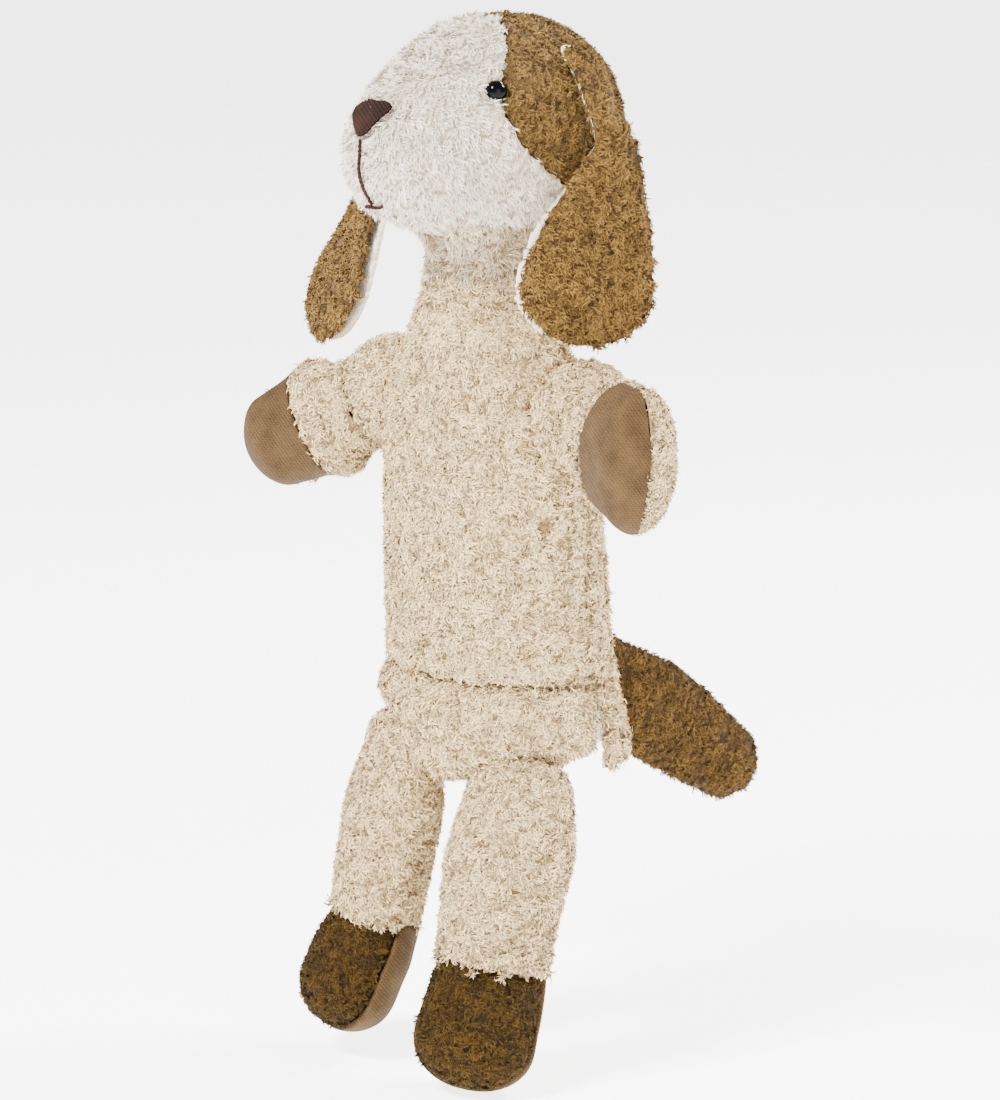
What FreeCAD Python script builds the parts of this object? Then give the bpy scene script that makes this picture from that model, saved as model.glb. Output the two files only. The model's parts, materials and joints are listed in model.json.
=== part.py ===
"""Plush dog hand puppet: a glove body with a stuffed head, hollow arms, a padded seat with two legs, and a tail.

Frame, in millimetres: the origin is the centre of the glove's open lower end, where a forearm enters.
+Z runs up the glove to the head, -Y is the side that the puppet's face looks to, +X is the puppet's left.
Every sewn panel is a closed solid as thick as its cloth with the pile, and each stuffing is a solid of its own.
Soft joints are balls: the pieces on both sides are cut to spheres about the joint, so that nothing meets.
"""

import FreeCAD, Part
import math
import os

from FreeCAD import Vector as V

# ---- driving dimensions -------------------------------------------------------------------------
# cloth
PLUSH = 3.0            # curly plush: backing and pile
VELOUR = 1.6           # the seat's smooth back cloth
LINING = 1.0           # cotton lining
LINING_GAP = 0.4       # between the lining and the plush
JOINT_GAP = 0.5        # between the pieces on the two sides of a soft joint

# glove body
BODY_HEIGHT = 168.0    # hem to neck joint
BODY_HALF_WIDTH = 45.0
BODY_HALF_DEPTH = 32.0
BODY_LEAN = 10.0       # how far the neck stands forward of the hem
WAIST_HEIGHT = 30.0    # the seam where the front panel ends and the seat begins
WAIST_GAP = 1.2
HEM_HEIGHT = 6.0       # folded hem band of the back panel
HEM_THICKNESS = 1.2
HEM_GAP = 0.1          # between the hem band and the plush

# neck
NECK_RADIUS = 21.0     # the ball that the neck sleeve is cut from
NECK_WALL = 3.0

# head
HEAD_BACK = 40.0       # from the head's centre to the back of the head
HEAD_FRONT = 64.0      # from the head's centre to the end of the muzzle
HEAD_HALF_WIDTH = 41.0
HEAD_HALF_HEIGHT = 39.5
MUZZLE_HALF_WIDTH = 23.0
MUZZLE_HALF_HEIGHT = 22.0
MUZZLE_DROP = 16.0     # the muzzle's end below the head's centre
MUZZLE_ROUND = 20.0    # length of its rounded end
HEAD_RISE = 51.5       # head's centre above the neck joint
HEAD_BACKSET = 11.5    # head's centre behind the neck joint
HEAD_TURN = 10.0       # rest pose, degrees: to the puppet's right
HEAD_PITCH = 11.0      # face up
HEAD_TILT = 7.0        # over to its right
HOOD_SEAM = 17.0       # the seam between face and hood on the crown, forward of the head's centre

# finger tube in the head
TUBE_RADIUS = 10.5
TUBE_WALL = 1.2
TUBE_DEPTH = 50.0      # how far the tube reaches above the neck joint

# eyes, nose and mouth
EYE_RADIUS = 5.0
EYE_DOME_HEIGHT = 3.6
EYE_STATION = 33.0     # forward of the head's centre
EYE_HEIGHT = 8.0       # above the head's centre
SHANK_RADIUS = 1.6
SHANK_LENGTH = 9.0
WASHER_RADIUS = 5.5
WASHER_THICKNESS = 1.2
NOSE_WIDTH = 20.0
NOSE_HEIGHT = 14.0
NOSE_TOP = 2.5         # above the head's centre
THREAD = 1.5           # how far the embroidery stands on the cloth
PHILTRUM_LENGTH = 22.0
STITCH_WIDTH = 1.5
MOUTH_HALF_WIDTH = 8.0

# ears
EAR_LENGTH = 99.0      # straight down from its root
EAR_ROOT_WIDTH = 22.0
EAR_WIDTH = 46.0
EAR_THICKNESS = 5.6
EAR_LINING_MIDDLE = 1.5 # middle of the lining, inward of the flap's middle
EAR_LINING_INSET = 1.6  # the lining's edge inside the flap's edge
EAR_STATION = -7.0     # its root, forward of the head's centre
EAR_ROOT_UP = 22.0     # its root, above the head's centre
EAR_STAND_OFF = 2.2   # the root's sewn edge stands this far off the hood
EAR_BULGE = 13.0       # how far the flap is pushed out by the side of the head
LEFT_EAR_SPLAY = 1.0   # rest pose, degrees away from the vertical
LEFT_EAR_SWING = 5.0   # degrees to the front
LEFT_EAR_TWIST = 30.0  # degrees that the lower end of the flap is turned to the front
RIGHT_EAR_SPLAY = 14.0
RIGHT_EAR_SWING = 20.0
RIGHT_EAR_TWIST = 56.0
RIGHT_EAR_TURN = 20.0  # degrees that its root is turned to the front as well

# arms
ARM_LENGTH = 61.0
ARM_ROOT_HALF = 14.5
ARM_HALF_HEIGHT = 22.5
ARM_HALF_DEPTH = 17.0
LEFT_PAW_HALF_HEIGHT = 26.0   # this paw lies flatter than the other
LEFT_PAW_HALF_DEPTH = 14.5
RIGHT_PAW_HALF_HEIGHT = 17.5
RIGHT_PAW_HALF_DEPTH = 15.5
PAW_LENGTH = 27.0      # wrist seam to the tip
SHOULDER_RADIUS = 19.0
SHOULDER_WALL = 2.4
SHOULDER_OUT = 42.5    # shoulder joint from the middle
SHOULDER_HEIGHT = 123.5
LEFT_ARM_DOWN = 8.0    # rest pose, degrees
LEFT_ARM_FORWARD = 29.0
RIGHT_ARM_DOWN = 25.0
RIGHT_ARM_FORWARD = 20.0

# seat and legs
SEAT_DEPTH = 26.0      # front to back
SEAT_DROP = 12.0       # below the hem
LEG_OUT = 26.5         # hip joint from the middle
HIP_FORWARD = 22.0
LEFT_HIP_DROP = 7.0    # below the hem
RIGHT_HIP_DROP = -1.0
HIP_RADIUS = 16.5      # the leg's rounded top, seen from its side
LEG_LENGTH = 68.0      # hip joint to ankle joint
HIP_HALF_WIDTH = 24.5
ANKLE_HALF_WIDTH = 20.5
ANKLE_RADIUS = 15.5    # the foot's rounded top, seen from its side
LEG_TURN_OUT = 25.0    # degrees that the leg is turned about its own length
LEFT_LEG_FORWARD = 12.0
LEFT_LEG_OUT = -2.0
RIGHT_LEG_FORWARD = 8.0
RIGHT_LEG_OUT = 6.0
FOOT_LENGTH = 39.0     # ankle joint to toe
FOOT_HALF_WIDTH = 22.0
FOOT_HALF_DEPTH = 17.0
FOOT_FORWARD = 16.0    # degrees that the foot points ahead of the leg

# tail
TAIL_LENGTH = 90.0
TAIL_WIDTH = 38.0
TAIL_THICKNESS = 16.0
TAIL_ROOT_HEIGHT = 27.0
TAIL_DOWN = 38.0       # rest pose, degrees below the horizontal
TAIL_SIDE = 28.0       # degrees to the puppet's left

os.makedirs("parts", exist_ok=True)


# ---- helpers ------------------------------------------------------------------------------------
def ring(station, half_x, half_y, mid_x=0.0, mid_y=0.0, twist=0.0, count=12):
    """A smooth closed section in the plane z = station, turned about its own middle by twist."""
    points = []
    turn = math.radians(twist)
    for i in range(count):
        angle = 2 * math.pi * i / count
        x, y = half_x * math.cos(angle), half_y * math.sin(angle)
        points.append(V(mid_x + x * math.cos(turn) - y * math.sin(turn),
                        mid_y + x * math.sin(turn) + y * math.cos(turn), station))
    curve = Part.BSplineCurve()
    curve.interpolate(Points=points, PeriodicFlag=True)
    return Part.Wire(curve.toShape())


def loft(sections):
    return Part.makeLoft([ring(*s) for s in sections], True, False)


def between(points, x):
    """The value at x of a smooth curve through the points that never overshoots them."""
    n = len(points)
    steps = [points[i + 1][0] - points[i][0] for i in range(n - 1)]
    slopes = [(points[i + 1][1] - points[i][1]) / steps[i] for i in range(n - 1)]
    tangents = [slopes[0]]
    for i in range(1, n - 1):
        a, b = slopes[i - 1], slopes[i]
        tangents.append(0.0 if a * b <= 0 else 2 * a * b / (a + b))
    tangents.append(slopes[-1])
    i = 0
    while i < n - 2 and x > points[i + 1][0]:
        i += 1
    t = (x - points[i][0]) / steps[i]
    low, high = points[i][1], points[i + 1][1]
    return ((2 * t ** 3 - 3 * t ** 2 + 1) * low + (t ** 3 - 2 * t ** 2 + t) * steps[i] * tangents[i]
            + (3 * t ** 2 - 2 * t ** 3) * high + (t ** 3 - t ** 2) * steps[i] * tangents[i + 1])


def evened(sections, spacing):
    """The same smooth tube with its sections at even distances."""
    first, last = sections[0][0], sections[-1][0]
    count = max(2, round((last - first) / spacing))
    out = []
    for k in range(count + 1):
        station = first + (last - first) * k / count
        out.append((station,) + tuple(
            between([(s[0], s[j]) for s in sections], station) for j in range(1, len(sections[0]))))
    return out


def inset(sections, wall):
    """The same sections, smaller all round by the wall."""
    return [(s[0], s[1] - wall, s[2] - wall) + tuple(s[3:]) for s in sections]


DOME_STEPS = (0.3, 0.56, 0.77, 0.91, 0.985)


def domed_end(sections, end_height, wall=0.0):
    """Sections with a rounded end past the last one, and all of it inset by the wall."""
    last = sections[-1]
    out = inset(sections, wall)
    for f in DOME_STEPS:
        k = math.sqrt(1 - f * f)
        out.append((last[0] + f * (end_height - wall), (last[1] - wall) * k, (last[2] - wall) * k) + tuple(last[3:]))
    return out


def domed_start(sections, start_height, wall=0.0):
    """Already inset sections with a rounded end before the first one."""
    first = sections[0]
    out = []
    for f in reversed(DOME_STEPS):
        k = math.sqrt(1 - f * f)
        out.append((first[0] - f * (start_height - wall), first[1] * k, first[2] * k) + tuple(first[3:]))
    return out + sections


def ball(centre, radius):
    return Part.makeSphere(radius, centre)


BIG = 400.0


def half_space(normal, offset=0.0):
    """A big block on the side of the plane normal . p > offset, for a coordinate axis as normal."""
    block = Part.makeBox(BIG, BIG, BIG, V(-BIG / 2, -BIG / 2, -BIG / 2))
    block.translate(V(*normal) * (offset + BIG / 2))
    return block


def axes_placement(origin, x_axis, z_axis):
    """Puts a local frame at origin with its z along z_axis and its x as near to x_axis as it can be."""
    z = V(z_axis).normalize()
    x = V(x_axis) - z * V(x_axis).dot(z)
    x.normalize()
    y = z.cross(x)
    return FreeCAD.Placement(FreeCAD.Matrix(
        x.x, y.x, z.x, origin.x,
        x.y, y.y, z.y, origin.y,
        x.z, y.z, z.z, origin.z,
        0, 0, 0, 1))


def turned_about(axis, degrees):
    return FreeCAD.Placement(V(0, 0, 0), FreeCAD.Rotation(V(*axis), degrees))


def shifted(x, y, z):
    return FreeCAD.Placement(V(x, y, z), FreeCAD.Rotation())


def placed(shape, placement):
    moved = shape.copy()
    moved.Placement = placement.multiply(moved.Placement)
    return moved


def cut_all(shape, *tools):
    for tool in tools:
        shape = shape.cut(tool)
    return shape


def mirrored(shape):
    return shape.mirror(V(0, 0, 0), V(1, 0, 0))


nodes = {}


def node(name, shape):
    """Keeps the shape's solid, without any crumbs that a cut may leave."""
    largest = max(s.Volume for s in shape.Solids)
    kept = [s for s in shape.Solids if s.Volume > 0.02 * largest]
    nodes[name] = kept[0] if len(kept) == 1 else Part.makeCompound(kept)


# ---- joints -------------------------------------------------------------------------------------
def body_mid(height):
    """How far forward the glove's middle stands at a height."""
    return -BODY_LEAN * max(0.0, height) / BODY_HEIGHT


def arm_direction(side, degrees_down, degrees_forward):
    down, forward = math.radians(degrees_down), math.radians(degrees_forward)
    return V(side * math.cos(down) * math.cos(forward), -math.cos(down) * math.sin(forward), -math.sin(down))


NECK_JOINT = V(0, body_mid(BODY_HEIGHT), BODY_HEIGHT)
NECK_BALL = ball(NECK_JOINT, NECK_RADIUS + JOINT_GAP)
SHOULDERS = {side: V(side * SHOULDER_OUT, body_mid(SHOULDER_HEIGHT), SHOULDER_HEIGHT) for side in (1, -1)}
SHOULDER_BALLS = [ball(SHOULDERS[side], SHOULDER_RADIUS + JOINT_GAP) for side in (1, -1)]
HIPS = {1: V(LEG_OUT, -HIP_FORWARD, -LEFT_HIP_DROP), -1: V(-LEG_OUT, -HIP_FORWARD, -RIGHT_HIP_DROP)}

# the head's own frame: x to its left, y up, z out of its face
HEAD_TURNED = shifted(0, NECK_JOINT.y, NECK_JOINT.z).multiply(turned_about((0, 0, 1), -HEAD_TURN)).multiply(
    shifted(0, HEAD_BACKSET, HEAD_RISE))
HEAD = HEAD_TURNED.multiply(turned_about((0, 1, 0), -HEAD_TILT)).multiply(
    turned_about((1, 0, 0), 90 - HEAD_PITCH))


# ---- glove body ---------------------------------------------------------------------------------
COLLAR_HEIGHT = BODY_HEIGHT - 8.0


def body_sections(wall=0.0, low=0.0, high=0.0):
    """The glove's sections from its hem to its collar, as shares of its greatest half width and depth."""
    shares = [
        (0.0, 1.02, 1.0), (0.18, 1.0, 1.0), (0.40, 0.985, 1.0), (0.58, 0.95, 0.97), (0.72, 0.90, 0.91),
        (0.82, 0.82, 0.84), (0.92, 0.68, 0.76), (1.0, 0.55, 0.69),
    ]
    out = []
    for share, wide, deep in shares:
        height = share * COLLAR_HEIGHT
        mid = body_mid(height)
        if share == 0.0:
            height += low
        if share == 1.0:
            height += high
        out.append((height, BODY_HALF_WIDTH * wide - wall, BODY_HALF_DEPTH * deep - wall, 0.0, mid))
    return evened(out, 14.0)


def build_body():
    outer = loft(body_sections())
    shell = cut_all(outer.cut(loft(body_sections(PLUSH, -1.0, 1.0))), NECK_BALL, *SHOULDER_BALLS)
    side_seam = body_mid(BODY_HEIGHT / 2)
    back_half, front_half = half_space((0, 1, 0), side_seam), half_space((0, -1, 0), -side_seam)
    above_waist = half_space((0, 0, 1), WAIST_HEIGHT)
    side_slit = half_space((0, -1, 0), 0.0).common(half_space((0, 0, -1), -WAIST_HEIGHT))
    node("glove_front_panel", shell.common(front_half).common(above_waist))
    node("glove_back_panel", shell.common(back_half).cut(side_slit))
    lining_wall = PLUSH + LINING_GAP
    lining = loft(body_sections(lining_wall)).cut(loft(body_sections(lining_wall + LINING, -1.0, 1.0)))
    lining = cut_all(lining, NECK_BALL, *SHOULDER_BALLS)
    above_hem = half_space((0, 0, 1), HEM_HEIGHT + 1.0)
    node("glove_front_lining", lining.common(front_half).common(above_waist))
    node("glove_back_lining", lining.common(back_half).common(above_hem).cut(side_slit))
    hem_wall = PLUSH + HEM_GAP
    hem = loft(body_sections(hem_wall)).cut(loft(body_sections(hem_wall + HEM_THICKNESS, -1.0, 1.0)))
    node("glove_hem_band", hem.common(half_space((0, 0, -1), -HEM_HEIGHT)).cut(side_slit))


# ---- neck ---------------------------------------------------------------------------------------
def build_neck():
    reach = NECK_RADIUS * 0.62
    zone = Part.makeCylinder(NECK_RADIUS * 1.2, 2 * reach, NECK_JOINT - V(0, 0, reach))
    sleeve = ball(NECK_JOINT, NECK_RADIUS).common(zone).cut(ball(NECK_JOINT, NECK_RADIUS - NECK_WALL))
    node("neck_sleeve", sleeve)


# ---- head ---------------------------------------------------------------------------------------
SNOUT_EASE = [(0.0, 0.0), (0.19, 0.03), (0.39, 0.17), (0.58, 0.42), (0.75, 0.70), (1.0, 1.0)]


def head_half(station, grow=0.0):
    """Half width, half height and middle height of the head at a station forward of its centre."""
    if station <= 0:
        k = math.sqrt(max(0.0, 1 - (station / (HEAD_BACK + grow)) ** 2))
        return (HEAD_HALF_WIDTH + grow) * k, (HEAD_HALF_HEIGHT + grow) * k, 0.0
    ease = between(SNOUT_EASE, min(1.0, station / HEAD_FRONT))
    half_x = HEAD_HALF_WIDTH + (MUZZLE_HALF_WIDTH - HEAD_HALF_WIDTH) * ease + grow
    half_y = HEAD_HALF_HEIGHT + (MUZZLE_HALF_HEIGHT - HEAD_HALF_HEIGHT) * ease + grow
    round_start = HEAD_FRONT - MUZZLE_ROUND
    if station > round_start:
        k = math.sqrt(max(0.0, 1 - ((station - round_start) / (MUZZLE_ROUND + grow)) ** 2))
        half_x, half_y = half_x * k, half_y * k
    return half_x, half_y, -MUZZLE_DROP * ease


def head_solid(grow=0.0):
    """The head's outer shape, grown or, with a negative value, shrunk all round."""
    stations = [-f * (HEAD_BACK + grow) for f in (0.985, 0.93, 0.82, 0.65, 0.42, 0.2)]
    round_start = HEAD_FRONT - MUZZLE_ROUND
    stations += [round_start * k / 5 for k in range(6)]
    stations += [round_start + f * (MUZZLE_ROUND + grow) for f in DOME_STEPS]
    return loft([(s,) + head_half(s, grow)[:2] + (0.0, head_half(s, grow)[2]) for s in stations])


def head_point(station, up):
    """A point on the left side of the head and the outward normal there, in the head's own frame."""
    def side_at(s):
        half_x, half_y, mid = head_half(s)
        return half_x * math.sqrt(1 - ((up - mid) / half_y) ** 2)

    half_x, half_y, mid = head_half(station)
    side = side_at(station)
    slope = (side_at(station + 0.5) - side) / 0.5
    steepness = (up - mid) / half_y ** 2 * half_x ** 2 / side
    return V(side, up, station), V(1, steepness, -slope).normalize()


def hood_zone():
    """The region behind the seam that runs from the crown over the temple and back under the ear."""
    seam = [(HOOD_SEAM, 70), (HOOD_SEAM, 38), (HOOD_SEAM + 10, 18), (HOOD_SEAM + 14, 4), (HOOD_SEAM + 9, -7),
            (HOOD_SEAM - 1, -15), (HOOD_SEAM - 16, -21), (HOOD_SEAM - 34, -26), (HOOD_SEAM - 64, -32)]
    points = [V(-60, y, z) for z, y in seam]
    curve = Part.BSplineCurve()
    curve.interpolate(points)
    corner_low, corner_high = V(-60, -32, -90), V(-60, 70, -90)
    edges = [curve.toShape(), Part.makeLine(points[-1], corner_low), Part.makeLine(corner_low, corner_high),
             Part.makeLine(corner_high, points[0])]
    return Part.Face(Part.Wire(edges)).extrude(V(120, 0, 0))


def build_eye(eye_at, normal):
    """The eye with its shank, and its washer, at a point of the head's surface, in the head's frame."""
    sink = 1.6
    curve_radius = (EYE_RADIUS ** 2 + EYE_DOME_HEIGHT ** 2) / (2 * EYE_DOME_HEIGHT)
    dome = ball(V(0, 0, EYE_DOME_HEIGHT - curve_radius), curve_radius)
    dome = dome.common(Part.makeCylinder(EYE_RADIUS, EYE_DOME_HEIGHT + 1))
    skirt = Part.makeCylinder(EYE_RADIUS, sink, V(0, 0, -sink))
    shank = Part.makeCylinder(SHANK_RADIUS, SHANK_LENGTH, V(0, 0, -SHANK_LENGTH))
    eye = dome.fuse(skirt).fuse(shank).removeSplitter()
    deep = PLUSH + 1.6
    washer = Part.makeCylinder(WASHER_RADIUS, WASHER_THICKNESS, V(0, 0, -deep - WASHER_THICKNESS))
    washer = washer.cut(Part.makeCylinder(SHANK_RADIUS, SHANK_LENGTH, V(0, 0, -SHANK_LENGTH)))
    at = axes_placement(eye_at, V(0, 1, 0), normal)
    return placed(eye, at), placed(washer, at)


def build_face_trim(outer):
    """Nose, the line under it and the mouth: embroidery that stands on the muzzle's surface."""
    raised = head_solid(THREAD).cut(outer)
    low = HEAD_FRONT - 1.6 * MUZZLE_ROUND
    wide, tall, top = NOSE_WIDTH / 2, NOSE_HEIGHT, NOSE_TOP
    outline = [
        (0, top), (-wide * 0.6, top - 0.04 * tall), (-wide, top - 0.26 * tall), (-wide * 0.66, top - 0.62 * tall),
        (-wide * 0.14, top - 0.98 * tall), (wide * 0.14, top - 0.98 * tall), (wide * 0.66, top - 0.62 * tall),
        (wide, top - 0.26 * tall), (wide * 0.6, top - 0.04 * tall),
    ]
    curve = Part.BSplineCurve()
    curve.interpolate(Points=[V(x, y, low) for x, y in outline], PeriodicFlag=True)
    nose = raised.common(Part.Face(Part.Wire(curve.toShape())).extrude(V(0, 0, BIG)))
    line_top = top - tall
    line_bottom = line_top - PHILTRUM_LENGTH
    half = STITCH_WIDTH / 2
    smile_radius = MOUTH_HALF_WIDTH * 2.2
    smile_mid = V(0, line_bottom + smile_radius - half, low)
    smile = Part.makeCylinder(smile_radius + half, BIG, smile_mid).cut(
        Part.makeCylinder(smile_radius - half, BIG, smile_mid))
    smile = smile.common(Part.makeBox(2 * MOUTH_HALF_WIDTH, smile_radius, BIG,
                                      V(-MOUTH_HALF_WIDTH, line_bottom - STITCH_WIDTH - half, low)))
    mouth = raised.common(smile)
    line = Part.makeBox(STITCH_WIDTH, PHILTRUM_LENGTH + tall / 2, BIG, V(-half, line_bottom, low))
    return nose, raised.common(line).cut(nose).cut(mouth), mouth


def build_head():
    outer, inner = head_solid(), head_solid(-PLUSH)
    to_head = HEAD.inverse()
    socket = placed(NECK_BALL, to_head)
    left, right, hood = half_space((1, 0, 0)), half_space((-1, 0, 0)), hood_zone()
    eye, washer = build_eye(*head_point(EYE_STATION, EYE_HEIGHT))
    other_eye, other_washer = mirrored(eye), mirrored(washer)
    shell = outer.cut(inner).cut(socket)
    tube_at = to_head.multiply(axes_placement(NECK_JOINT, V(1, 0, 0), HEAD.Base - NECK_JOINT))
    tube_space = placed(Part.makeCylinder(TUBE_RADIUS, TUBE_DEPTH), tube_at)
    finger_space = placed(Part.makeCylinder(TUBE_RADIUS - TUBE_WALL, TUBE_DEPTH), tube_at)
    shell = shell.cut(tube_space)
    nose, line, mouth = build_face_trim(outer)
    parts = {
        "face_left": shell.common(left).cut(hood).cut(eye),
        "face_right": shell.common(right).cut(hood).cut(other_eye),
        "hood_left": shell.common(left).common(hood).cut(eye),
        "hood_right": shell.common(right).common(hood).cut(other_eye),
        "finger_tube": tube_space.cut(finger_space).cut(socket),
        "head_stuffing": cut_all(inner, socket, tube_space, eye, washer, other_eye, other_washer),
        "eye_left": eye, "eye_right": other_eye,
        "eye_washer_left": washer, "eye_washer_right": other_washer,
        "nose": nose, "nose_line_stitch": line, "mouth_stitch": mouth,
    }
    for name, shape in parts.items():
        node(name, placed(shape, HEAD))


# ---- ears ---------------------------------------------------------------------------------------
def ear_sections(side, length, twist, half_thickness, inward=0.0, narrower=0.0):
    """The flap's sections down its length, its middle pushed out by the head's side, its lower end turned."""
    root, wide = EAR_ROOT_WIDTH / 2, EAR_WIDTH / 2
    widths = [(0.0, root), (0.25, root * 1.12), (0.45, wide * 0.74), (0.65, wide * 0.96), (0.8, wide)]
    bulge = [(0.0, 0.0), (0.12, 0.5), (0.27, 0.96), (0.45, 1.0), (0.8, 0.95)]
    turns = [(0.0, 0.0), (0.25, 0.1), (0.5, 0.7), (0.8, 1.0)]
    body = []
    for k in range(9):
        f = 0.8 * k / 8
        turn = side * between(turns, f) * twist
        outward = V(math.cos(math.radians(turn)), math.sin(math.radians(turn)), 0)
        body.append((f * length, half_thickness, between(widths, f) - narrower,
                     EAR_BULGE * between(bulge, f) - inward * outward.x, -inward * outward.y, turn))
    return domed_start(domed_end(body, length * 0.2 - narrower), 3.0 - 0.5 * narrower)


def ear_placement(side, splay, swing, turn):
    """The flap's frame: z down it, x out of its outer face; its root stands just clear of the hood."""
    at, normal = head_point(EAR_STATION, EAR_ROOT_UP)
    at = V(side * at.x, at.y, at.z)
    normal = V(side * normal.x, normal.y, normal.z)
    off = EAR_THICKNESS / 2 + JOINT_GAP + EAR_STAND_OFF + EAR_ROOT_WIDTH / 2 * math.sin(math.radians(turn))
    root = HEAD.multVec(at + normal * off)
    outward = HEAD_TURNED.Rotation.multVec(V(side * math.cos(math.radians(turn)), -math.sin(math.radians(turn)), 0))
    down = HEAD_TURNED.Rotation.multVec(V(
        side * math.tan(math.radians(splay)), -math.tan(math.radians(swing)), -1.0))
    return axes_placement(root, outward, down), down.Length


def build_ear(side, label, splay, swing, twist, turn):
    at, stretch = ear_placement(side, splay, swing, turn)
    length = EAR_LENGTH * stretch
    half = EAR_THICKNESS / 2
    flap = loft(ear_sections(side, length, twist, half))
    lining = loft(ear_sections(side, length, twist, half - EAR_LINING_MIDDLE, EAR_LINING_MIDDLE, EAR_LINING_INSET))
    node(f"ear_{label}_outer", placed(flap.cut(lining), at))
    node(f"ear_{label}_lining", placed(lining, at))


# ---- arms ---------------------------------------------------------------------------------------
def arm_sections(paw_half_height, paw_half_depth, wall=0.0):
    tip = 13.0
    start, last = 11.0, ARM_LENGTH - tip
    reach = last - start
    body = [
        (start - (1.0 if wall else 0.0), ARM_ROOT_HALF, ARM_ROOT_HALF * 0.94, 0.0, 0.0),
        (start + 0.16 * reach, ARM_ROOT_HALF * 1.14, ARM_ROOT_HALF, 0.0, 0.0),
        (start + 0.42 * reach, ARM_HALF_HEIGHT, ARM_HALF_DEPTH, 0.0, 0.0),
        (start + 0.7 * reach, 0.4 * ARM_HALF_HEIGHT + 0.6 * paw_half_height,
         0.4 * ARM_HALF_DEPTH + 0.6 * paw_half_depth, 0.0, 0.0),
        (last, paw_half_height, paw_half_depth, 0.0, 0.0),
    ]
    return domed_end(evened(body, 5.0), tip, wall)


def build_arm(side, label, direction, paw_half_height, paw_half_depth):
    at = axes_placement(SHOULDERS[side], V(0, 0, 1), direction)
    socket = ball(V(0, 0, 0), SHOULDER_RADIUS + JOINT_GAP)
    shell = loft(arm_sections(paw_half_height, paw_half_depth)).cut(
        loft(arm_sections(paw_half_height, paw_half_depth, PLUSH))).cut(socket)
    palm, back = half_space((0, side, 0)), half_space((0, -side, 0))
    wrist = ARM_LENGTH - PAW_LENGTH
    node(f"sleeve_{label}_back", placed(shell.common(back), at))
    node(f"sleeve_{label}_front", placed(shell.common(palm).common(half_space((0, 0, -1), -wrist)), at))
    node(f"paw_pad_{label}", placed(shell.common(palm).common(half_space((0, 0, 1), wrist)), at))
    low, high = -SHOULDER_RADIUS * 0.3, SHOULDER_RADIUS * 0.72
    zone = Part.makeCylinder(SHOULDER_RADIUS * 1.2, high - low, V(0, 0, low))
    hoop = ball(V(0, 0, 0), SHOULDER_RADIUS).common(zone).cut(ball(V(0, 0, 0), SHOULDER_RADIUS - SHOULDER_WALL))
    node(f"armhole_ring_{label}", placed(hoop, at))


# ---- legs ---------------------------------------------------------------------------------------
def leg_sections(wall=0.0):
    """From the hip's rounded top down to below the ankle; x is the leg's width, y its front."""
    body = [
        (0.0, HIP_HALF_WIDTH, HIP_RADIUS, 0.0, 0.0),
        (0.3 * LEG_LENGTH, HIP_HALF_WIDTH * 0.97, HIP_RADIUS * 1.03, 0.0, 0.0),
        (0.65 * LEG_LENGTH, HIP_HALF_WIDTH * 0.9, HIP_RADIUS * 1.02, 0.0, 0.0),
        (LEG_LENGTH, ANKLE_HALF_WIDTH + 0.4, ANKLE_RADIUS + 0.4, 0.0, 0.0),
    ]
    return domed_start(inset(evened(body, 9.0), wall), HIP_RADIUS, wall)


def foot_sections(wall=0.0):
    tip = 17.0
    body = [
        (0.0, ANKLE_HALF_WIDTH, ANKLE_RADIUS, 0.0, 0.0),
        (0.35 * (FOOT_LENGTH - tip), 0.5 * (ANKLE_HALF_WIDTH + FOOT_HALF_WIDTH), FOOT_HALF_DEPTH, 0.0, 0.0),
        (FOOT_LENGTH - tip, FOOT_HALF_WIDTH, FOOT_HALF_DEPTH, 0.0, 0.0),
    ]
    return domed_start(domed_end(evened(body, 6.0), tip, wall), ANKLE_RADIUS, wall)


def rounded_top(centre_placement, half_width, radius):
    """The space that a limb's rounded top needs when it turns about its x axis."""
    grown = [(0.0, half_width + JOINT_GAP, radius + JOINT_GAP, 0.0, 0.0)]
    sections = domed_start(domed_end(grown, radius + JOINT_GAP), radius + JOINT_GAP)
    return placed(loft(sections), centre_placement)


def leg_space(leg_at):
    """The slot in the seat that a leg's rounded top and the leg below it need: a half round and the box under it."""
    radius, wide, low = HIP_RADIUS + 2 * JOINT_GAP, HIP_HALF_WIDTH + 2 * JOINT_GAP, SEAT_DROP + HIP_RADIUS + 15.0
    crown, edges = V(-wide, 0, -radius), [V(-wide, -radius, 0), V(-wide, radius, 0)]
    corners = [V(-wide, radius, low), V(-wide, -radius, low)]
    path = [Part.Arc(edges[0], crown, edges[1]).toShape()]
    for start, end in ((edges[1], corners[0]), (corners[0], corners[1]), (corners[1], edges[0])):
        path.append(Part.makeLine(start, end))
    return placed(Part.Face(Part.Wire(path)).extrude(V(2 * wide, 0, 0)), leg_at)


def leg_placement(side, forward, out):
    swing, splay = math.radians(forward), math.radians(out)
    direction = V(side * math.sin(splay), -math.sin(swing) * math.cos(splay), -math.cos(swing) * math.cos(splay))
    turn = math.radians(LEG_TURN_OUT)
    across = V(math.cos(turn), side * math.sin(turn), 0)
    return axes_placement(HIPS[side], across, direction)


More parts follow.
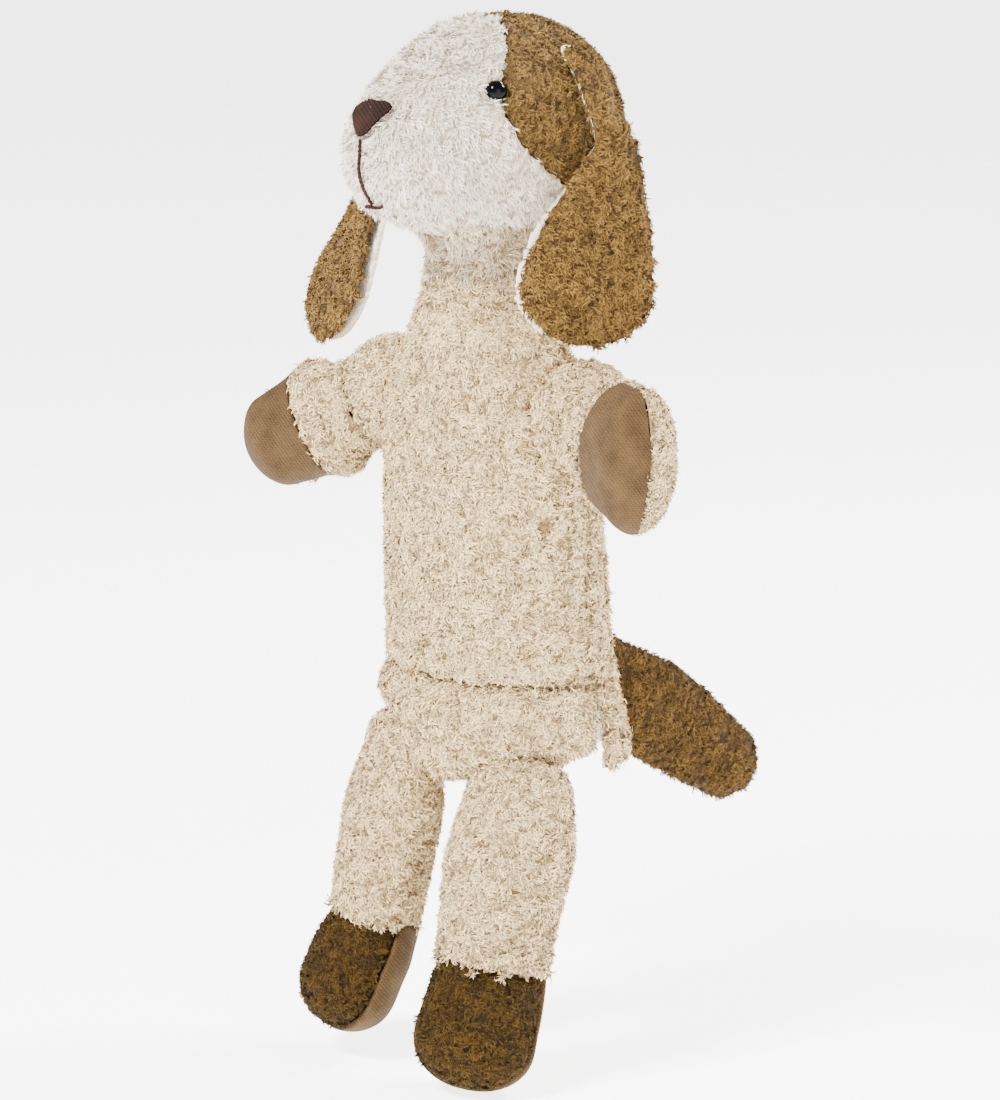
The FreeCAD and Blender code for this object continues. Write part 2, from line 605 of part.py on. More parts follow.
def build_leg(side, label, forward, out):
    at = leg_placement(side, forward, out)
    foot_at = shifted(0, 0, LEG_LENGTH).multiply(turned_about((1, 0, 0), -FOOT_FORWARD))
    ankle_space = rounded_top(shifted(0, 0, LEG_LENGTH), ANKLE_HALF_WIDTH, ANKLE_RADIUS)
    outer, inner = loft(leg_sections()), loft(leg_sections(PLUSH))
    front, back = half_space((0, 1, 0)), half_space((0, -1, 0))
    above_ankle = half_space((0, 0, -1), -LEG_LENGTH + 3.0)
    shell = outer.cut(inner).common(above_ankle).cut(ankle_space)
    node(f"leg_{label}_front", placed(shell.common(front), at))
    node(f"leg_{label}_back", placed(shell.common(back), at))
    node(f"leg_{label}_stuffing", placed(inner.common(above_ankle).cut(ankle_space), at))
    foot, hollow = loft(foot_sections()), loft(foot_sections(PLUSH))
    rind = foot.cut(hollow)
    foot_at = at.multiply(foot_at)
    node(f"foot_{label}_upper", placed(rind.common(front), foot_at))
    node(f"foot_{label}_sole", placed(rind.common(back), foot_at))
    node(f"foot_{label}_stuffing", placed(hollow, foot_at))


# ---- seat ---------------------------------------------------------------------------------------
def seat_solid(wall=0.0):
    top = WAIST_HEIGHT - WAIST_GAP - wall
    wide, deep = BODY_HALF_WIDTH + 1.5 - wall, BODY_HALF_DEPTH + 2.0 - wall
    height = top + SEAT_DROP - wall
    sections = []
    for f, k in ((0.0, 0.82), (0.1, 0.93), (0.3, 1.0), (0.65, 1.01), (0.88, 0.985), (1.0, 0.95)):
        sections.append((top - height + f * height, wide * k, deep * k, 0.0, 0.0))
    return loft(evened(sections, 5.0))


def build_seat():
    behind = -(BODY_HALF_DEPTH + 2.0 - SEAT_DEPTH)
    sockets = [
        leg_space(leg_placement(1, LEFT_LEG_FORWARD, LEFT_LEG_OUT)),
        leg_space(leg_placement(-1, RIGHT_LEG_FORWARD, RIGHT_LEG_OUT)),
    ]
    front, front_of_back_panel = half_space((0, -1, 0), -behind), half_space((0, -1, 0), -(behind - VELOUR))
    outer, inner = seat_solid().common(front), seat_solid(PLUSH)
    node("seat_front_panel", cut_all(outer.cut(inner), *sockets))
    node("seat_stuffing", cut_all(inner.common(front_of_back_panel), *sockets))
    node("seat_back_panel", cut_all(outer.common(inner).cut(front_of_back_panel), *sockets))


# ---- tail ---------------------------------------------------------------------------------------
def tail_placement():
    down, side = math.radians(TAIL_DOWN), math.radians(TAIL_SIDE)
    root = V(0, BODY_HALF_DEPTH + body_mid(TAIL_ROOT_HEIGHT) + TAIL_THICKNESS * 0.3 + 4.5, TAIL_ROOT_HEIGHT)
    direction = V(math.cos(down) * math.sin(side), math.cos(down) * math.cos(side), -math.sin(down))
    return axes_placement(root, V(math.cos(side), -math.sin(side), 0), direction)


def tail_sections(wall=0.0):
    thick, wide, tip = TAIL_THICKNESS / 2, TAIL_WIDTH / 2, 15.0
    last = TAIL_LENGTH - tip
    body = [
        (0.0, thick * 0.75, wide * 0.62, 0.0, 0.0), (0.2 * last, thick * 0.92, wide * 0.8, 0.0, 0.0),
        (0.55 * last, thick, wide, 0.0, 0.0), (last, thick * 0.85, wide * 0.8, 0.0, 0.0),
    ]
    return domed_start(domed_end(evened(body, 9.0), tip, wall), 5.0, min(wall, 2.0))


def build_tail():
    at = tail_placement()
    outer, inner = loft(tail_sections()), loft(tail_sections(PLUSH))
    shell = outer.cut(inner)
    node("tail_left_panel", placed(shell.common(half_space((1, 0, 0))), at))
    node("tail_right_panel", placed(shell.common(half_space((-1, 0, 0))), at))
    node("tail_stuffing", placed(inner, at))


build_body()
build_neck()
build_head()
build_ear(1, "left", LEFT_EAR_SPLAY, LEFT_EAR_SWING, LEFT_EAR_TWIST, 0.0)
build_ear(-1, "right", RIGHT_EAR_SPLAY, RIGHT_EAR_SWING, RIGHT_EAR_TWIST, RIGHT_EAR_TURN)
build_arm(1, "left", arm_direction(1, LEFT_ARM_DOWN, LEFT_ARM_FORWARD), LEFT_PAW_HALF_HEIGHT, LEFT_PAW_HALF_DEPTH)
build_arm(-1, "right", arm_direction(-1, RIGHT_ARM_DOWN, RIGHT_ARM_FORWARD), RIGHT_PAW_HALF_HEIGHT,
          RIGHT_PAW_HALF_DEPTH)
build_seat()
build_leg(1, "left", LEFT_LEG_FORWARD, LEFT_LEG_OUT)
build_leg(-1, "right", RIGHT_LEG_FORWARD, RIGHT_LEG_OUT)
build_tail()

for name, shape in nodes.items():
    shape.exportStep(f"parts/{name}.step")
    print(f"{name:22s} {len(shape.Solids)} solid(s) {shape.Volume / 1000:8.2f} cm3 valid={shape.isValid()}")
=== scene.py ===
# %% [markdown]
# A plush dog hand puppet: a cream curly glove with hollow arms, a stuffed head with a brown hood and
# long ears, a padded seat with two stuffed legs, and a tail. The sewn shapes come from the CAD frame.
# What Blender adds is the pile. Each cloth panel becomes a smooth backing, and Geometry Nodes plant
# small curled locks of yarn all over it.

# %% Load the frame
import json
import math
import random

import bmesh
import bpy
import numpy as np
from mathutils import Matrix, Vector, noise
from mathutils.bvhtree import BVHTree


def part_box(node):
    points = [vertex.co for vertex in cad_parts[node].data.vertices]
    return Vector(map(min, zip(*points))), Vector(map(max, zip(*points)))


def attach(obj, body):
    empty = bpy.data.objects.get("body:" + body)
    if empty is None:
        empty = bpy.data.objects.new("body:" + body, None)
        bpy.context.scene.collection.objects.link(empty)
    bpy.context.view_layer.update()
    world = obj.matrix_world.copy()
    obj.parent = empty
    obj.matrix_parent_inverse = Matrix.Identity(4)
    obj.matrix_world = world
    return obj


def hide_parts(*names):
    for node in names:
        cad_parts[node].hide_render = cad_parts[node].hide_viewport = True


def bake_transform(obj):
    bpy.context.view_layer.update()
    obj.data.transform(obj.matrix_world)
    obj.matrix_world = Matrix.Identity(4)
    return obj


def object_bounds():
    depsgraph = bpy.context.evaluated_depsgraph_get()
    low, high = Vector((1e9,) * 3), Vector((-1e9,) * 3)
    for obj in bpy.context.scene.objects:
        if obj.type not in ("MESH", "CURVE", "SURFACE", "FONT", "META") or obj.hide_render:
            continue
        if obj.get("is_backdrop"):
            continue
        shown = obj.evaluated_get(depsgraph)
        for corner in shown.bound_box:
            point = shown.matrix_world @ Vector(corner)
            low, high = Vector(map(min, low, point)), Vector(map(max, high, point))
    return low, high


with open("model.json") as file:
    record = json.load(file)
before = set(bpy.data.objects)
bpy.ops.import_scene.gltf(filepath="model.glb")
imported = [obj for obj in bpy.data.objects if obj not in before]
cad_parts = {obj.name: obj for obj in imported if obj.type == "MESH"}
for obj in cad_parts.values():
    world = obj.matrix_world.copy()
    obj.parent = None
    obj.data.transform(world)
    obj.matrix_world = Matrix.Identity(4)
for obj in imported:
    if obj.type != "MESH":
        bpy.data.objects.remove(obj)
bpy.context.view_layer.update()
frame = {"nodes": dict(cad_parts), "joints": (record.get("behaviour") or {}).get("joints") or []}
UP = Vector((0, 0, 1))
joint_at = {joint["name"]: Vector(joint["pos_m"]) for joint in frame["joints"]}


def middle(*nodes):
    """The centre of the box round some CAD nodes."""
    boxes = [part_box(name) for name in nodes]
    low = Vector([min(b[0][i] for b in boxes) for i in range(3)])
    high = Vector([max(b[1][i] for b in boxes) for i in range(3)])
    return (low + high) / 2


# %% [markdown]
# Pile has two colours: a dark one deep down, which is painted shade in the depths of the pile and on the backing
# between the locks, and the pale yarn at the tips.
# Every lock stores how far each point is from its root ("tip") and a random shade ("tone").
# A node group mixes the two colours with these, so any plush can use it with colours of its own.

# %% Node helpers
def socket(tree, kind, name, value=None, out=False):
    """Adds a named input or output to a node group."""
    way = "OUTPUT" if out else "INPUT"
    made = tree.interface.new_socket(name, in_out=way, socket_type=f"NodeSocket{kind}")
    if value is not None:
        made.default_value = value
    return made


def add(tree, kind, *links, **settings):
    """A new node. Settings are its properties; each link is (input, an output socket or a plain value)."""
    made = tree.nodes.new(kind)
    for name, value in settings.items():
        setattr(made, name, value)
    for name, value in links:
        target = made.inputs[name]
        if isinstance(value, bpy.types.NodeSocket):
            tree.links.new(value, target)
        else:
            target.default_value = value
    return made


def maths(tree, operation, first, second=0.0):
    return add(tree, "ShaderNodeMath", (0, first), (1, second), operation=operation).outputs[0]


def blend_colour(tree, share, first, second, mode="MIX"):
    node = add(tree, "ShaderNodeMix", (0, share), (6, first), (7, second), data_type="RGBA", blend_type=mode)
    return node.outputs[2]


def colour_group():
    """Pile colour: dark at the root as painted shade deep in the pile, pale at the tip, each lock a little different,
    and broad soft patches.
    """
    tree = bpy.data.node_groups.new("pile_colour", "ShaderNodeTree")
    socket(tree, "Color", "Root shade", (0.5, 0.4, 0.3, 1))
    socket(tree, "Color", "Tip", (0.9, 0.85, 0.75, 1))
    socket(tree, "Float", "Shade spread", 0.2)
    socket(tree, "Float", "Patch size", 0.02)
    socket(tree, "Color", "Colour", out=True)
    socket(tree, "Float", "Strands", out=True)
    given = add(tree, "NodeGroupInput").outputs
    tip = add(tree, "ShaderNodeAttribute", attribute_name="tip").outputs["Fac"]
    tone = add(tree, "ShaderNodeAttribute", attribute_name="tone").outputs["Fac"]
    where = add(tree, "ShaderNodeTexCoord").outputs["Object"]
    per_metre = maths(tree, "DIVIDE", 1.0, given["Patch size"])
    patches = add(tree, "ShaderNodeTexNoise", ("Vector", where), ("Scale", per_metre),
                  ("Detail", 2.0)).outputs["Fac"]
    strands = add(tree, "ShaderNodeTexNoise", ("Vector", where), ("Scale", 1400.0), ("Detail", 3.0),
                  ("Roughness", 0.7), ("Distortion", 1.5)).outputs["Fac"]
    hidden = maths(tree, "SUBTRACT", 1.0, tip)
    fuzz = maths(tree, "MULTIPLY", maths(tree, "MULTIPLY", maths(tree, "SUBTRACT", strands, 0.45), 2.2), hidden)
    rise = maths(tree, "MAXIMUM", maths(tree, "ADD", maths(tree, "POWER", tip, 1.15), fuzz), 0.0)
    # Low on each fibre and on the bare backing, the colour leans to the root colour, which is painted shade deep in
    # the pile.
    base = blend_colour(tree, rise, given["Root shade"], given["Tip"])
    shade = maths(tree, "ADD", maths(tree, "MULTIPLY", tone, 0.65), maths(tree, "MULTIPLY", patches, 0.7))
    away = maths(tree, "MULTIPLY", maths(tree, "SUBTRACT", shade, 0.67), given["Shade spread"])
    light = maths(tree, "ADD", away, 1.0)
    grey = add(tree, "ShaderNodeCombineColor", (0, light), (1, light), (2, light)).outputs[0]
    result = blend_colour(tree, 1.0, base, grey, "MULTIPLY")
    add(tree, "NodeGroupOutput", ("Colour", result), ("Strands", maths(tree, "MULTIPLY", strands, hidden)))
    return tree


pile_colour = colour_group()
print("pile colour group:", len(pile_colour.nodes), "nodes")


# %% Plush materials
def new_material(name):
    material = bpy.data.materials.new(name)
    material.use_nodes = True
    shader = material.node_tree.nodes["Principled BSDF"]
    return material, material.node_tree, shader


def plush(name, root, tip, spread=0.25, patch=0.018, sheen=0.25):
    material, tree, shader = new_material(name)
    colour = add(tree, "ShaderNodeGroup", ("Root shade", (*root, 1)), ("Tip", (*tip, 1)), ("Shade spread", spread),
                 ("Patch size", patch), node_tree=pile_colour)
    bump = add(tree, "ShaderNodeBump", ("Height", colour.outputs["Strands"]), ("Distance", 0.0007),
               ("Strength", 0.9))
    tree.links.new(colour.outputs["Colour"], shader.inputs["Base Color"])
    tree.links.new(bump.outputs[0], shader.inputs["Normal"])
    shader.inputs["Roughness"].default_value = 0.8
    shader.inputs["Specular IOR Level"].default_value = 0.12
    shader.inputs["Sheen Weight"].default_value = sheen
    shader.inputs["Sheen Roughness"].default_value = 0.5
    return material


# Each plush gets a dark colour for the root, painted shade deep in the pile, and the pale colour of its yarn for the
# tips.
CREAM = plush("cream_curls", (0.13, 0.065, 0.018), (0.97, 0.74, 0.39), spread=0.8, patch=0.005, sheen=0.08)
WHITE = plush("white_brushed_pile", (0.42, 0.31, 0.17), (1.0, 0.95, 0.84), spread=0.30, patch=0.006,
              sheen=0.12)
BROWN = plush("brown_curls", (0.012, 0.005, 0.001), (0.25, 0.138, 0.032), spread=0.85, patch=0.004, sheen=0.03)
TAIL_BROWN = plush("tail_brown_curls", (0.010, 0.004, 0.001), (0.17, 0.092, 0.020), spread=0.85, patch=0.004,
                   sheen=0.03)
NECK = plush("brushed_cream_pile", (0.24, 0.14, 0.05), (1.0, 0.86, 0.60), spread=0.5, patch=0.005, sheen=0.1)
DARK = plush("dark_foot_curls", (0.005, 0.0025, 0.0005), (0.075, 0.040, 0.006), spread=0.9, patch=0.004, sheen=0.0)
print("plush materials:", [m.name for m in (CREAM, WHITE, NECK, BROWN, TAIL_BROWN, DARK)])


# %% [markdown]
# The paw pads, soles and ear linings are velour: a knitted cloth with a pile too short to model.
# Fine ribs of knitting, tiny fibres and broad lighter and darker patches come from a second group, which gives a
# height for bump and a mask for the colour, darker between the ribs as painted shade in the grooves. The cotton
# lining is a plain weave, made the same way.

# %% Cloth group and materials
def cloth_group():
    """Ribs and fibres of a fine cloth: a height for bump, and a mask that darkens between the ribs, which is painted
    shade in the grooves.
    """
    tree = bpy.data.node_groups.new("cloth_surface", "ShaderNodeTree")
    socket(tree, "Float", "Rib spacing", 0.001)
    socket(tree, "Float", "Cross ribs", 0.0)
    socket(tree, "Float", "Fuzz", 0.5)
    socket(tree, "Float", "Height", out=True)
    socket(tree, "Float", "Mask", out=True)
    given = add(tree, "NodeGroupInput").outputs
    where = add(tree, "ShaderNodeTexCoord").outputs["Object"]
    ribs_per_metre = maths(tree, "DIVIDE", 0.314, given["Rib spacing"])
    along = add(tree, "ShaderNodeTexWave", ("Vector", where), ("Scale", ribs_per_metre), ("Distortion", 0.8),
                ("Detail Scale", 1.5), bands_direction="DIAGONAL").outputs["Fac"]
    across = add(tree, "ShaderNodeTexWave", ("Vector", where), ("Scale", ribs_per_metre), ("Distortion", 0.8),
                 ("Detail Scale", 1.5), bands_direction="Z").outputs["Fac"]
    fibres = add(tree, "ShaderNodeTexNoise", ("Vector", where), ("Scale", 2600.0), ("Detail", 3.0)).outputs["Fac"]
    broad_patches = add(tree, "ShaderNodeTexNoise", ("Vector", where), ("Scale", 130.0), ("Detail", 3.0)).outputs["Fac"]
    crossing = maths(tree, "MULTIPLY", across, given["Cross ribs"])
    knit = maths(tree, "ADD", maths(tree, "MULTIPLY", along, 0.6), crossing)
    fuzz = maths(tree, "MULTIPLY", fibres, given["Fuzz"])
    height = maths(tree, "ADD", maths(tree, "MULTIPLY", knit, 0.5), fuzz)
    # Low places between the ribs and fibres get the deep colour, which is painted shade in the grooves; broad patches
    # make the colour lighter and darker at a larger scale.
    mask = maths(tree, "ADD", maths(tree, "MULTIPLY", height, 0.45), maths(tree, "MULTIPLY", broad_patches, 0.6))
    add(tree, "NodeGroupOutput", ("Height", height), ("Mask", mask))
    return tree


cloth_surface = cloth_group()


def cloth(name, deep, raised, spacing, cross, fuzz, sheen, depth=0.0004, roughness=0.85):
    material, tree, shader = new_material(name)
    surface = add(tree, "ShaderNodeGroup", ("Rib spacing", spacing), ("Cross ribs", cross), ("Fuzz", fuzz),
                  node_tree=cloth_surface)
    ramp = add(tree, "ShaderNodeValToRGB", (0, surface.outputs["Mask"]))
    ramp.color_ramp.elements[0].position, ramp.color_ramp.elements[1].position = 0.3, 0.8
    ramp.color_ramp.elements[0].color, ramp.color_ramp.elements[1].color = (*deep, 1), (*raised, 1)
    bump = add(tree, "ShaderNodeBump", ("Height", surface.outputs["Height"]), ("Distance", depth),
               ("Strength", 0.8))
    tree.links.new(ramp.outputs[0], shader.inputs["Base Color"])
    tree.links.new(bump.outputs[0], shader.inputs["Normal"])
    shader.inputs["Roughness"].default_value = roughness
    shader.inputs["Specular IOR Level"].default_value = 0.1
    shader.inputs["Sheen Weight"].default_value = sheen
    shader.inputs["Sheen Roughness"].default_value = 0.4
    return material


# Each cloth's first colour is painted shade between the ribs, and its second is the colour of the raised ribs.
PAD = cloth("taupe_velour", (0.016, 0.008, 0.003), (0.085, 0.048, 0.018), 0.0009, 0.35, 0.9, 0.03, 0.0006)
EAR_VELOUR = cloth("cream_velour", (0.55, 0.45, 0.32), (0.88, 0.79, 0.65), 0.0008, 0.2, 0.8, 0.3)
COTTON = cloth("woven_cotton", (0.52, 0.47, 0.40), (0.86, 0.82, 0.74), 0.0007, 0.6, 0.3, 0.1)
NOSE_THREAD = cloth("nose_satin_thread", (0.006, 0.002, 0.001), (0.045, 0.014, 0.006), 0.0011, 0.0, 0.2,
                    0.0, 0.0004, 0.6)
LINE_THREAD = cloth("plum_thread", (0.014, 0.004, 0.004), (0.045, 0.014, 0.012), 0.0004, 0.1, 0.3, 0.0,
                    0.0001, 0.6)
WASHER = cloth("moulded_washer", (0.70, 0.69, 0.66), (0.85, 0.84, 0.82), 0.002, 0.0, 0.15, 0.0, 0.0001, 0.5)
print("cloths:", [m.name for m in (PAD, EAR_VELOUR, COTTON, NOSE_THREAD, LINE_THREAD, WASHER)])


# %% [markdown]
# A sewn panel's backing starts as the CAD solid of that panel. Voxel remeshing turns it into an even
# skin and rounds its cut edges like a turned seam. The skin is then drawn in by the depth of the pile,
# so that the tips of the pile, and not the cloth under them, follow the CAD outline.

# %% Backing helpers
def mesh_object(name, mesh):
    obj = bpy.data.objects.new(name, mesh)
    bpy.context.scene.collection.objects.link(obj)
    return obj


def evaluated(obj):
    """The object's mesh with its modifiers applied, as a plain mesh."""
    graph = bpy.context.evaluated_depsgraph_get()
    return bpy.data.meshes.new_from_object(obj.evaluated_get(graph))


def joined(nodes):
    """One mesh that holds copies of some CAD nodes, with their doubled corners merged."""
    whole = bmesh.new()
    for name in nodes:
        whole.from_mesh(frame["nodes"][name].data)
    bmesh.ops.remove_doubles(whole, verts=whole.verts, dist=0.00002)
    mesh = bpy.data.meshes.new("joined")
    whole.to_mesh(mesh)
    whole.free()
    return mesh


def hull(mesh):
    """The mesh's convex hull, for a padded piece whose cover bridges the hollows in its CAD solid."""
    whole = bmesh.new()
    whole.from_mesh(mesh)
    made = bmesh.ops.convex_hull(whole, input=whole.verts)
    left_over = made["geom_interior"] + made["geom_unused"]
    loose = [e for e in left_over if isinstance(e, bmesh.types.BMVert) and e.is_valid]
    bmesh.ops.delete(whole, geom=loose, context="VERTS")
    tight = bpy.data.meshes.new("hull")
    whole.to_mesh(tight)
    whole.free()
    return tight


def ray_tree(mesh):
    """A tree that finds where rays meet a mesh."""
    return BVHTree.FromPolygons([v.co for v in mesh.vertices], [p.vertices for p in mesh.polygons])


def arrays(mesh):
    count = len(mesh.vertices)
    places, normals = np.empty(count * 3), np.empty(count * 3)
    mesh.vertices.foreach_get("co", places)
    mesh.vertices.foreach_get("normal", normals)
    return places.reshape(-1, 3), normals.reshape(-1, 3)


def from_axis(places, start, end):
    """Unit vectors from the nearest point of the line start to end, out to each place."""
    a, b = np.array(start), np.array(end)
    along = b - a
    share = np.clip((places - a) @ along / max(along @ along, 1e-12), 0, 1)
    out = places - (a + share[:, None] * along)
    return out / np.maximum(np.linalg.norm(out, axis=1), 1e-9)[:, None]


def give(mesh, name, values):
    layer = mesh.attributes.get(name) or mesh.attributes.new(name, "FLOAT", "POINT")
    layer.data.foreach_set("value", np.asarray(values, np.float32))


def backing(name, nodes, voxel, depth, axis=None, keep=1.0, smooth=2, meets=(), shape=None, filled=False,
            edge_below=-1.0):
    """A smooth skin round CAD nodes, drawn in by depth where it faces away from axis, or everywhere.
    Near the balls in meets, as (centre, radius), it keeps its full size, so that no gap opens there.
    shape gives each place a last push, for folds that the CAD solid leaves out, and a filled piece
    starts from the solid's hull. Below edge_below, pile also grows on the edge that looks forward."""
    obj = mesh_object(name, hull(joined(nodes)) if filled else joined(nodes))
    remesh = obj.modifiers.new("even", "REMESH")
    remesh.mode, remesh.voxel_size = "VOXEL", voxel
    soften = obj.modifiers.new("soften", "SMOOTH")
    soften.factor, soften.iterations = 0.5, smooth
    if keep < 1.0:
        thin = obj.modifiers.new("thin", "DECIMATE")
        thin.ratio = keep
    mesh = evaluated(obj)
    obj.modifiers.clear()
    obj.data = mesh
    places, normals = arrays(mesh)
    facing = np.ones(len(places))
    if axis is not None:
        facing = np.clip((np.einsum("ij,ij->i", from_axis(places, *axis), normals) + 0.1) / 0.5, 0, 1)
    lumps = np.array([noise.noise(Vector(p) * 55.0) for p in places])
    inward = (depth - 0.0006 * lumps) * facing
    for centre, radius in meets:
        away = np.linalg.norm(places - np.array(centre), axis=1)
        inward *= np.clip((away - radius) / 0.007, 0.0, 1.0)
    places = places - normals * inward[:, None]
    if shape is not None:
        places = places + shape(places)
    mesh.vertices.foreach_set("co", places.ravel())
    mesh.polygons.foreach_set("use_smooth", np.ones(len(mesh.polygons), bool))
    edges = (places[:, 2] < edge_below) & (normals[:, 1] < -0.3)
    give(mesh, "pile", np.maximum(facing, edges))
    # The bare backing gets low tip values, so that it takes the dark root colour: painted shade between the locks,
    # mottled with noise.
    mottle = np.array([noise.noise(Vector(p) * 400.0) for p in places])
    give(mesh, "tip", 0.12 + 0.25 * mottle)
    give(mesh, "tone", 0.5 + mottle)
    mesh.update()
    print(f"{name}: backing of {len(mesh.polygons)} faces")
    return obj


# %% [markdown]
# A lock is a handful of thin flat fibres that leave the cloth together and curl the same way. A real
# lock has hundreds of hairs, and each fibre here stands for a strand of them. A fibre is a narrow
# strip of three or five triangles, bent as it rises, so that many can be afforded. Straighter locks make
# brushed pile, and tighter ones make curls.

# %% Locks of yarn
def fibre(mesh, root, heading, length, width, curl, tip_layer, steps):
    """A narrow pointed strip that bends towards heading as it rises."""
    place, side, before = Vector(root), Vector((-heading.y, heading.x, 0)), None
    for step in range(steps + 1):
        share = step / steps
        half = 0.5 * width * (1 - 0.35 * share)
        row = [place] if step == steps else [place - half * side, place + half * side]
        row = [mesh.verts.new(corner) for corner in row]
        for corner in row:
            corner[tip_layer] = share
        if before:
            mesh.faces.new((*before, *reversed(row)))
        before = row
        angle = curl * (share + 0.5 / steps)
        place = place + (heading * math.sin(angle) + UP * math.cos(angle)) * length / steps


def lock(name, seed, fibres, length, width, spread, curl, fan):
    """One lock: fibres from nearly one root, all curling roughly towards +X."""
    draw = random.Random(seed)
    mesh = bmesh.new()
    tip_layer = mesh.verts.layers.float.new("tip")
    for _ in range(fibres):
        heading_angle = draw.uniform(-fan, fan)
        heading = Vector((math.cos(heading_angle), math.sin(heading_angle), 0))
        root = Vector((draw.uniform(-spread, spread), draw.uniform(-spread, spread), -0.0003))
        fibre(mesh, root, heading, length * draw.uniform(0.55, 1.15), width * draw.uniform(0.7, 1.3),
              curl * draw.uniform(0.5, 1.3), tip_layer, draw.choice((2, 2, 3)))
    bmesh.ops.triangulate(mesh, faces=mesh.faces)
    data = bpy.data.meshes.new(name)
    mesh.to_mesh(data)
    mesh.free()
    data.polygons.foreach_set("use_smooth", np.ones(len(data.polygons), bool))
    return bpy.data.objects.new(name, data)


def lock_set(name, **shape):
    """Four locks of one kind, in a collection that the pile picks from."""
    group = bpy.data.collections.new(name)
    for k in range(4):
        group.objects.link(lock(f"{name}_{k}", seed=11 + k, **shape))
    return group


CURLS = lock_set("curls", fibres=10, length=0.0036, width=0.00050, spread=0.0012, curl=2.4, fan=1.3)
BRUSHED = lock_set("brushed", fibres=10, length=0.0036, width=0.00040, spread=0.0012, curl=1.2, fan=0.9)


# %% [markdown]
# Geometry Nodes plant the locks. Points are scattered on the skin, more of them where its "pile" value
# is high. Each point's lock leans along a slow swirl of noise plus a combing direction, which is what
# gathers curly plush into lumps with dark gaps between them. The tree ends as a plain mesh.

# %% The pile's node tree
def pile_tree():
    tree = bpy.data.node_groups.new("planted_pile", "GeometryNodeTree")
    socket(tree, "Geometry", "Backing")
    socket(tree, "Collection", "Locks")
    socket(tree, "Float", "Locks per square metre", 200000.0)
    socket(tree, "Float", "Lock size", 1.0)
    socket(tree, "Float", "Size variation", 0.35)
    socket(tree, "Float", "Swirl size", 0.006)
    socket(tree, "Float", "Lean", 0.8)
    socket(tree, "Vector", "Combing", (0.0, 0.0, 0.0))
    socket(tree, "Int", "Seed", 1)
    socket(tree, "Material", "Material")
    socket(tree, "Geometry", "Plush", out=True)
    given = add(tree, "NodeGroupInput").outputs
    wanted = add(tree, "GeometryNodeInputNamedAttribute", ("Name", "pile"), data_type="FLOAT").outputs[0]
    density = maths(tree, "MULTIPLY", wanted, given["Locks per square metre"])
    scatter = add(tree, "GeometryNodeDistributePointsOnFaces", ("Mesh", given["Backing"]), ("Density", density),
                  ("Seed", given["Seed"]), distribute_method="RANDOM")
    where = add(tree, "GeometryNodeInputPosition").outputs[0]
    per_metre = maths(tree, "DIVIDE", 1.0, given["Swirl size"])
    swirl = add(tree, "ShaderNodeTexNoise", ("Vector", where), ("Scale", per_metre), ("Detail", 1.0))
    centred = add(tree, "ShaderNodeVectorMath", (0, swirl.outputs["Color"]), (1, (0.5, 0.5, 0.5)),
                  operation="SUBTRACT")
    leaning = add(tree, "ShaderNodeVectorMath", (0, centred.outputs[0]), operation="SCALE")
    tree.links.new(maths(tree, "MULTIPLY", given["Lean"], 3.0), leaning.inputs["Scale"])
    combed = add(tree, "ShaderNodeVectorMath", (0, leaning.outputs[0]), (1, given["Combing"]),
                 operation="ADD")
    aim = add(tree, "ShaderNodeVectorMath", (0, combed.outputs[0]), (1, scatter.outputs["Normal"]),
              operation="ADD")
    upright = add(tree, "FunctionNodeAlignRotationToVector", ("Vector", aim.outputs[0]), axis="Z")
    bend = add(tree, "FunctionNodeAlignRotationToVector", ("Rotation", upright.outputs[0]),
               ("Vector", combed.outputs[0]), axis="X", pivot_axis="Z")
    twist = add(tree, "FunctionNodeRandomValue", (2, -0.9), (3, 0.9), ("Seed", given["Seed"]), data_type="FLOAT")
    around = add(tree, "ShaderNodeCombineXYZ", (2, twist.outputs[1]))
    turned = add(tree, "FunctionNodeRotateRotation", ("Rotation", bend.outputs[0]), ("Rotate By", around.outputs[0]),
                 rotation_space="LOCAL")
    lump = maths(tree, "ADD", maths(tree, "MULTIPLY", swirl.outputs["Fac"], 0.9), 0.55)
    least = maths(tree, "SUBTRACT", 1.0, given["Size variation"])
    vary = add(tree, "FunctionNodeRandomValue", (2, least), (3, 1.15), ("Seed", 7), data_type="FLOAT")
    size = maths(tree, "MULTIPLY", maths(tree, "MULTIPLY", vary.outputs[1], lump), given["Lock size"])
    locks = add(tree, "GeometryNodeCollectionInfo", ("Collection", given["Locks"]), ("Separate Children", True),
                ("Reset Children", True))
    pick = add(tree, "FunctionNodeRandomValue", (4, 0), (5, 3), ("Seed", 3), data_type="INT")
    planted = add(tree, "GeometryNodeInstanceOnPoints", ("Points", scatter.outputs["Points"]),
                  ("Instance", locks.outputs[0]), ("Pick Instance", True), ("Instance Index", pick.outputs[2]),
                  ("Rotation", turned.outputs[0]), ("Scale", size))
    tone = add(tree, "FunctionNodeRandomValue", (2, 0.0), (3, 1.0), ("Seed", 5), data_type="FLOAT")
    toned = add(tree, "GeometryNodeStoreNamedAttribute", ("Geometry", planted.outputs[0]), ("Name", "tone"),
                ("Value", tone.outputs[1]), data_type="FLOAT", domain="INSTANCE")
    both = add(tree, "GeometryNodeJoinGeometry", (0, given["Backing"]))
    tree.links.new(toned.outputs[0], both.inputs[0])
    real = add(tree, "GeometryNodeRealizeInstances", (0, both.outputs[0]))
    finished = add(tree, "GeometryNodeSetMaterial", (0, real.outputs[0]), ("Material", given["Material"]))
    add(tree, "NodeGroupOutput", ("Plush", finished.outputs[0]))
    return tree


PILE = pile_tree()
print("pile tree:", len(PILE.nodes), "nodes")


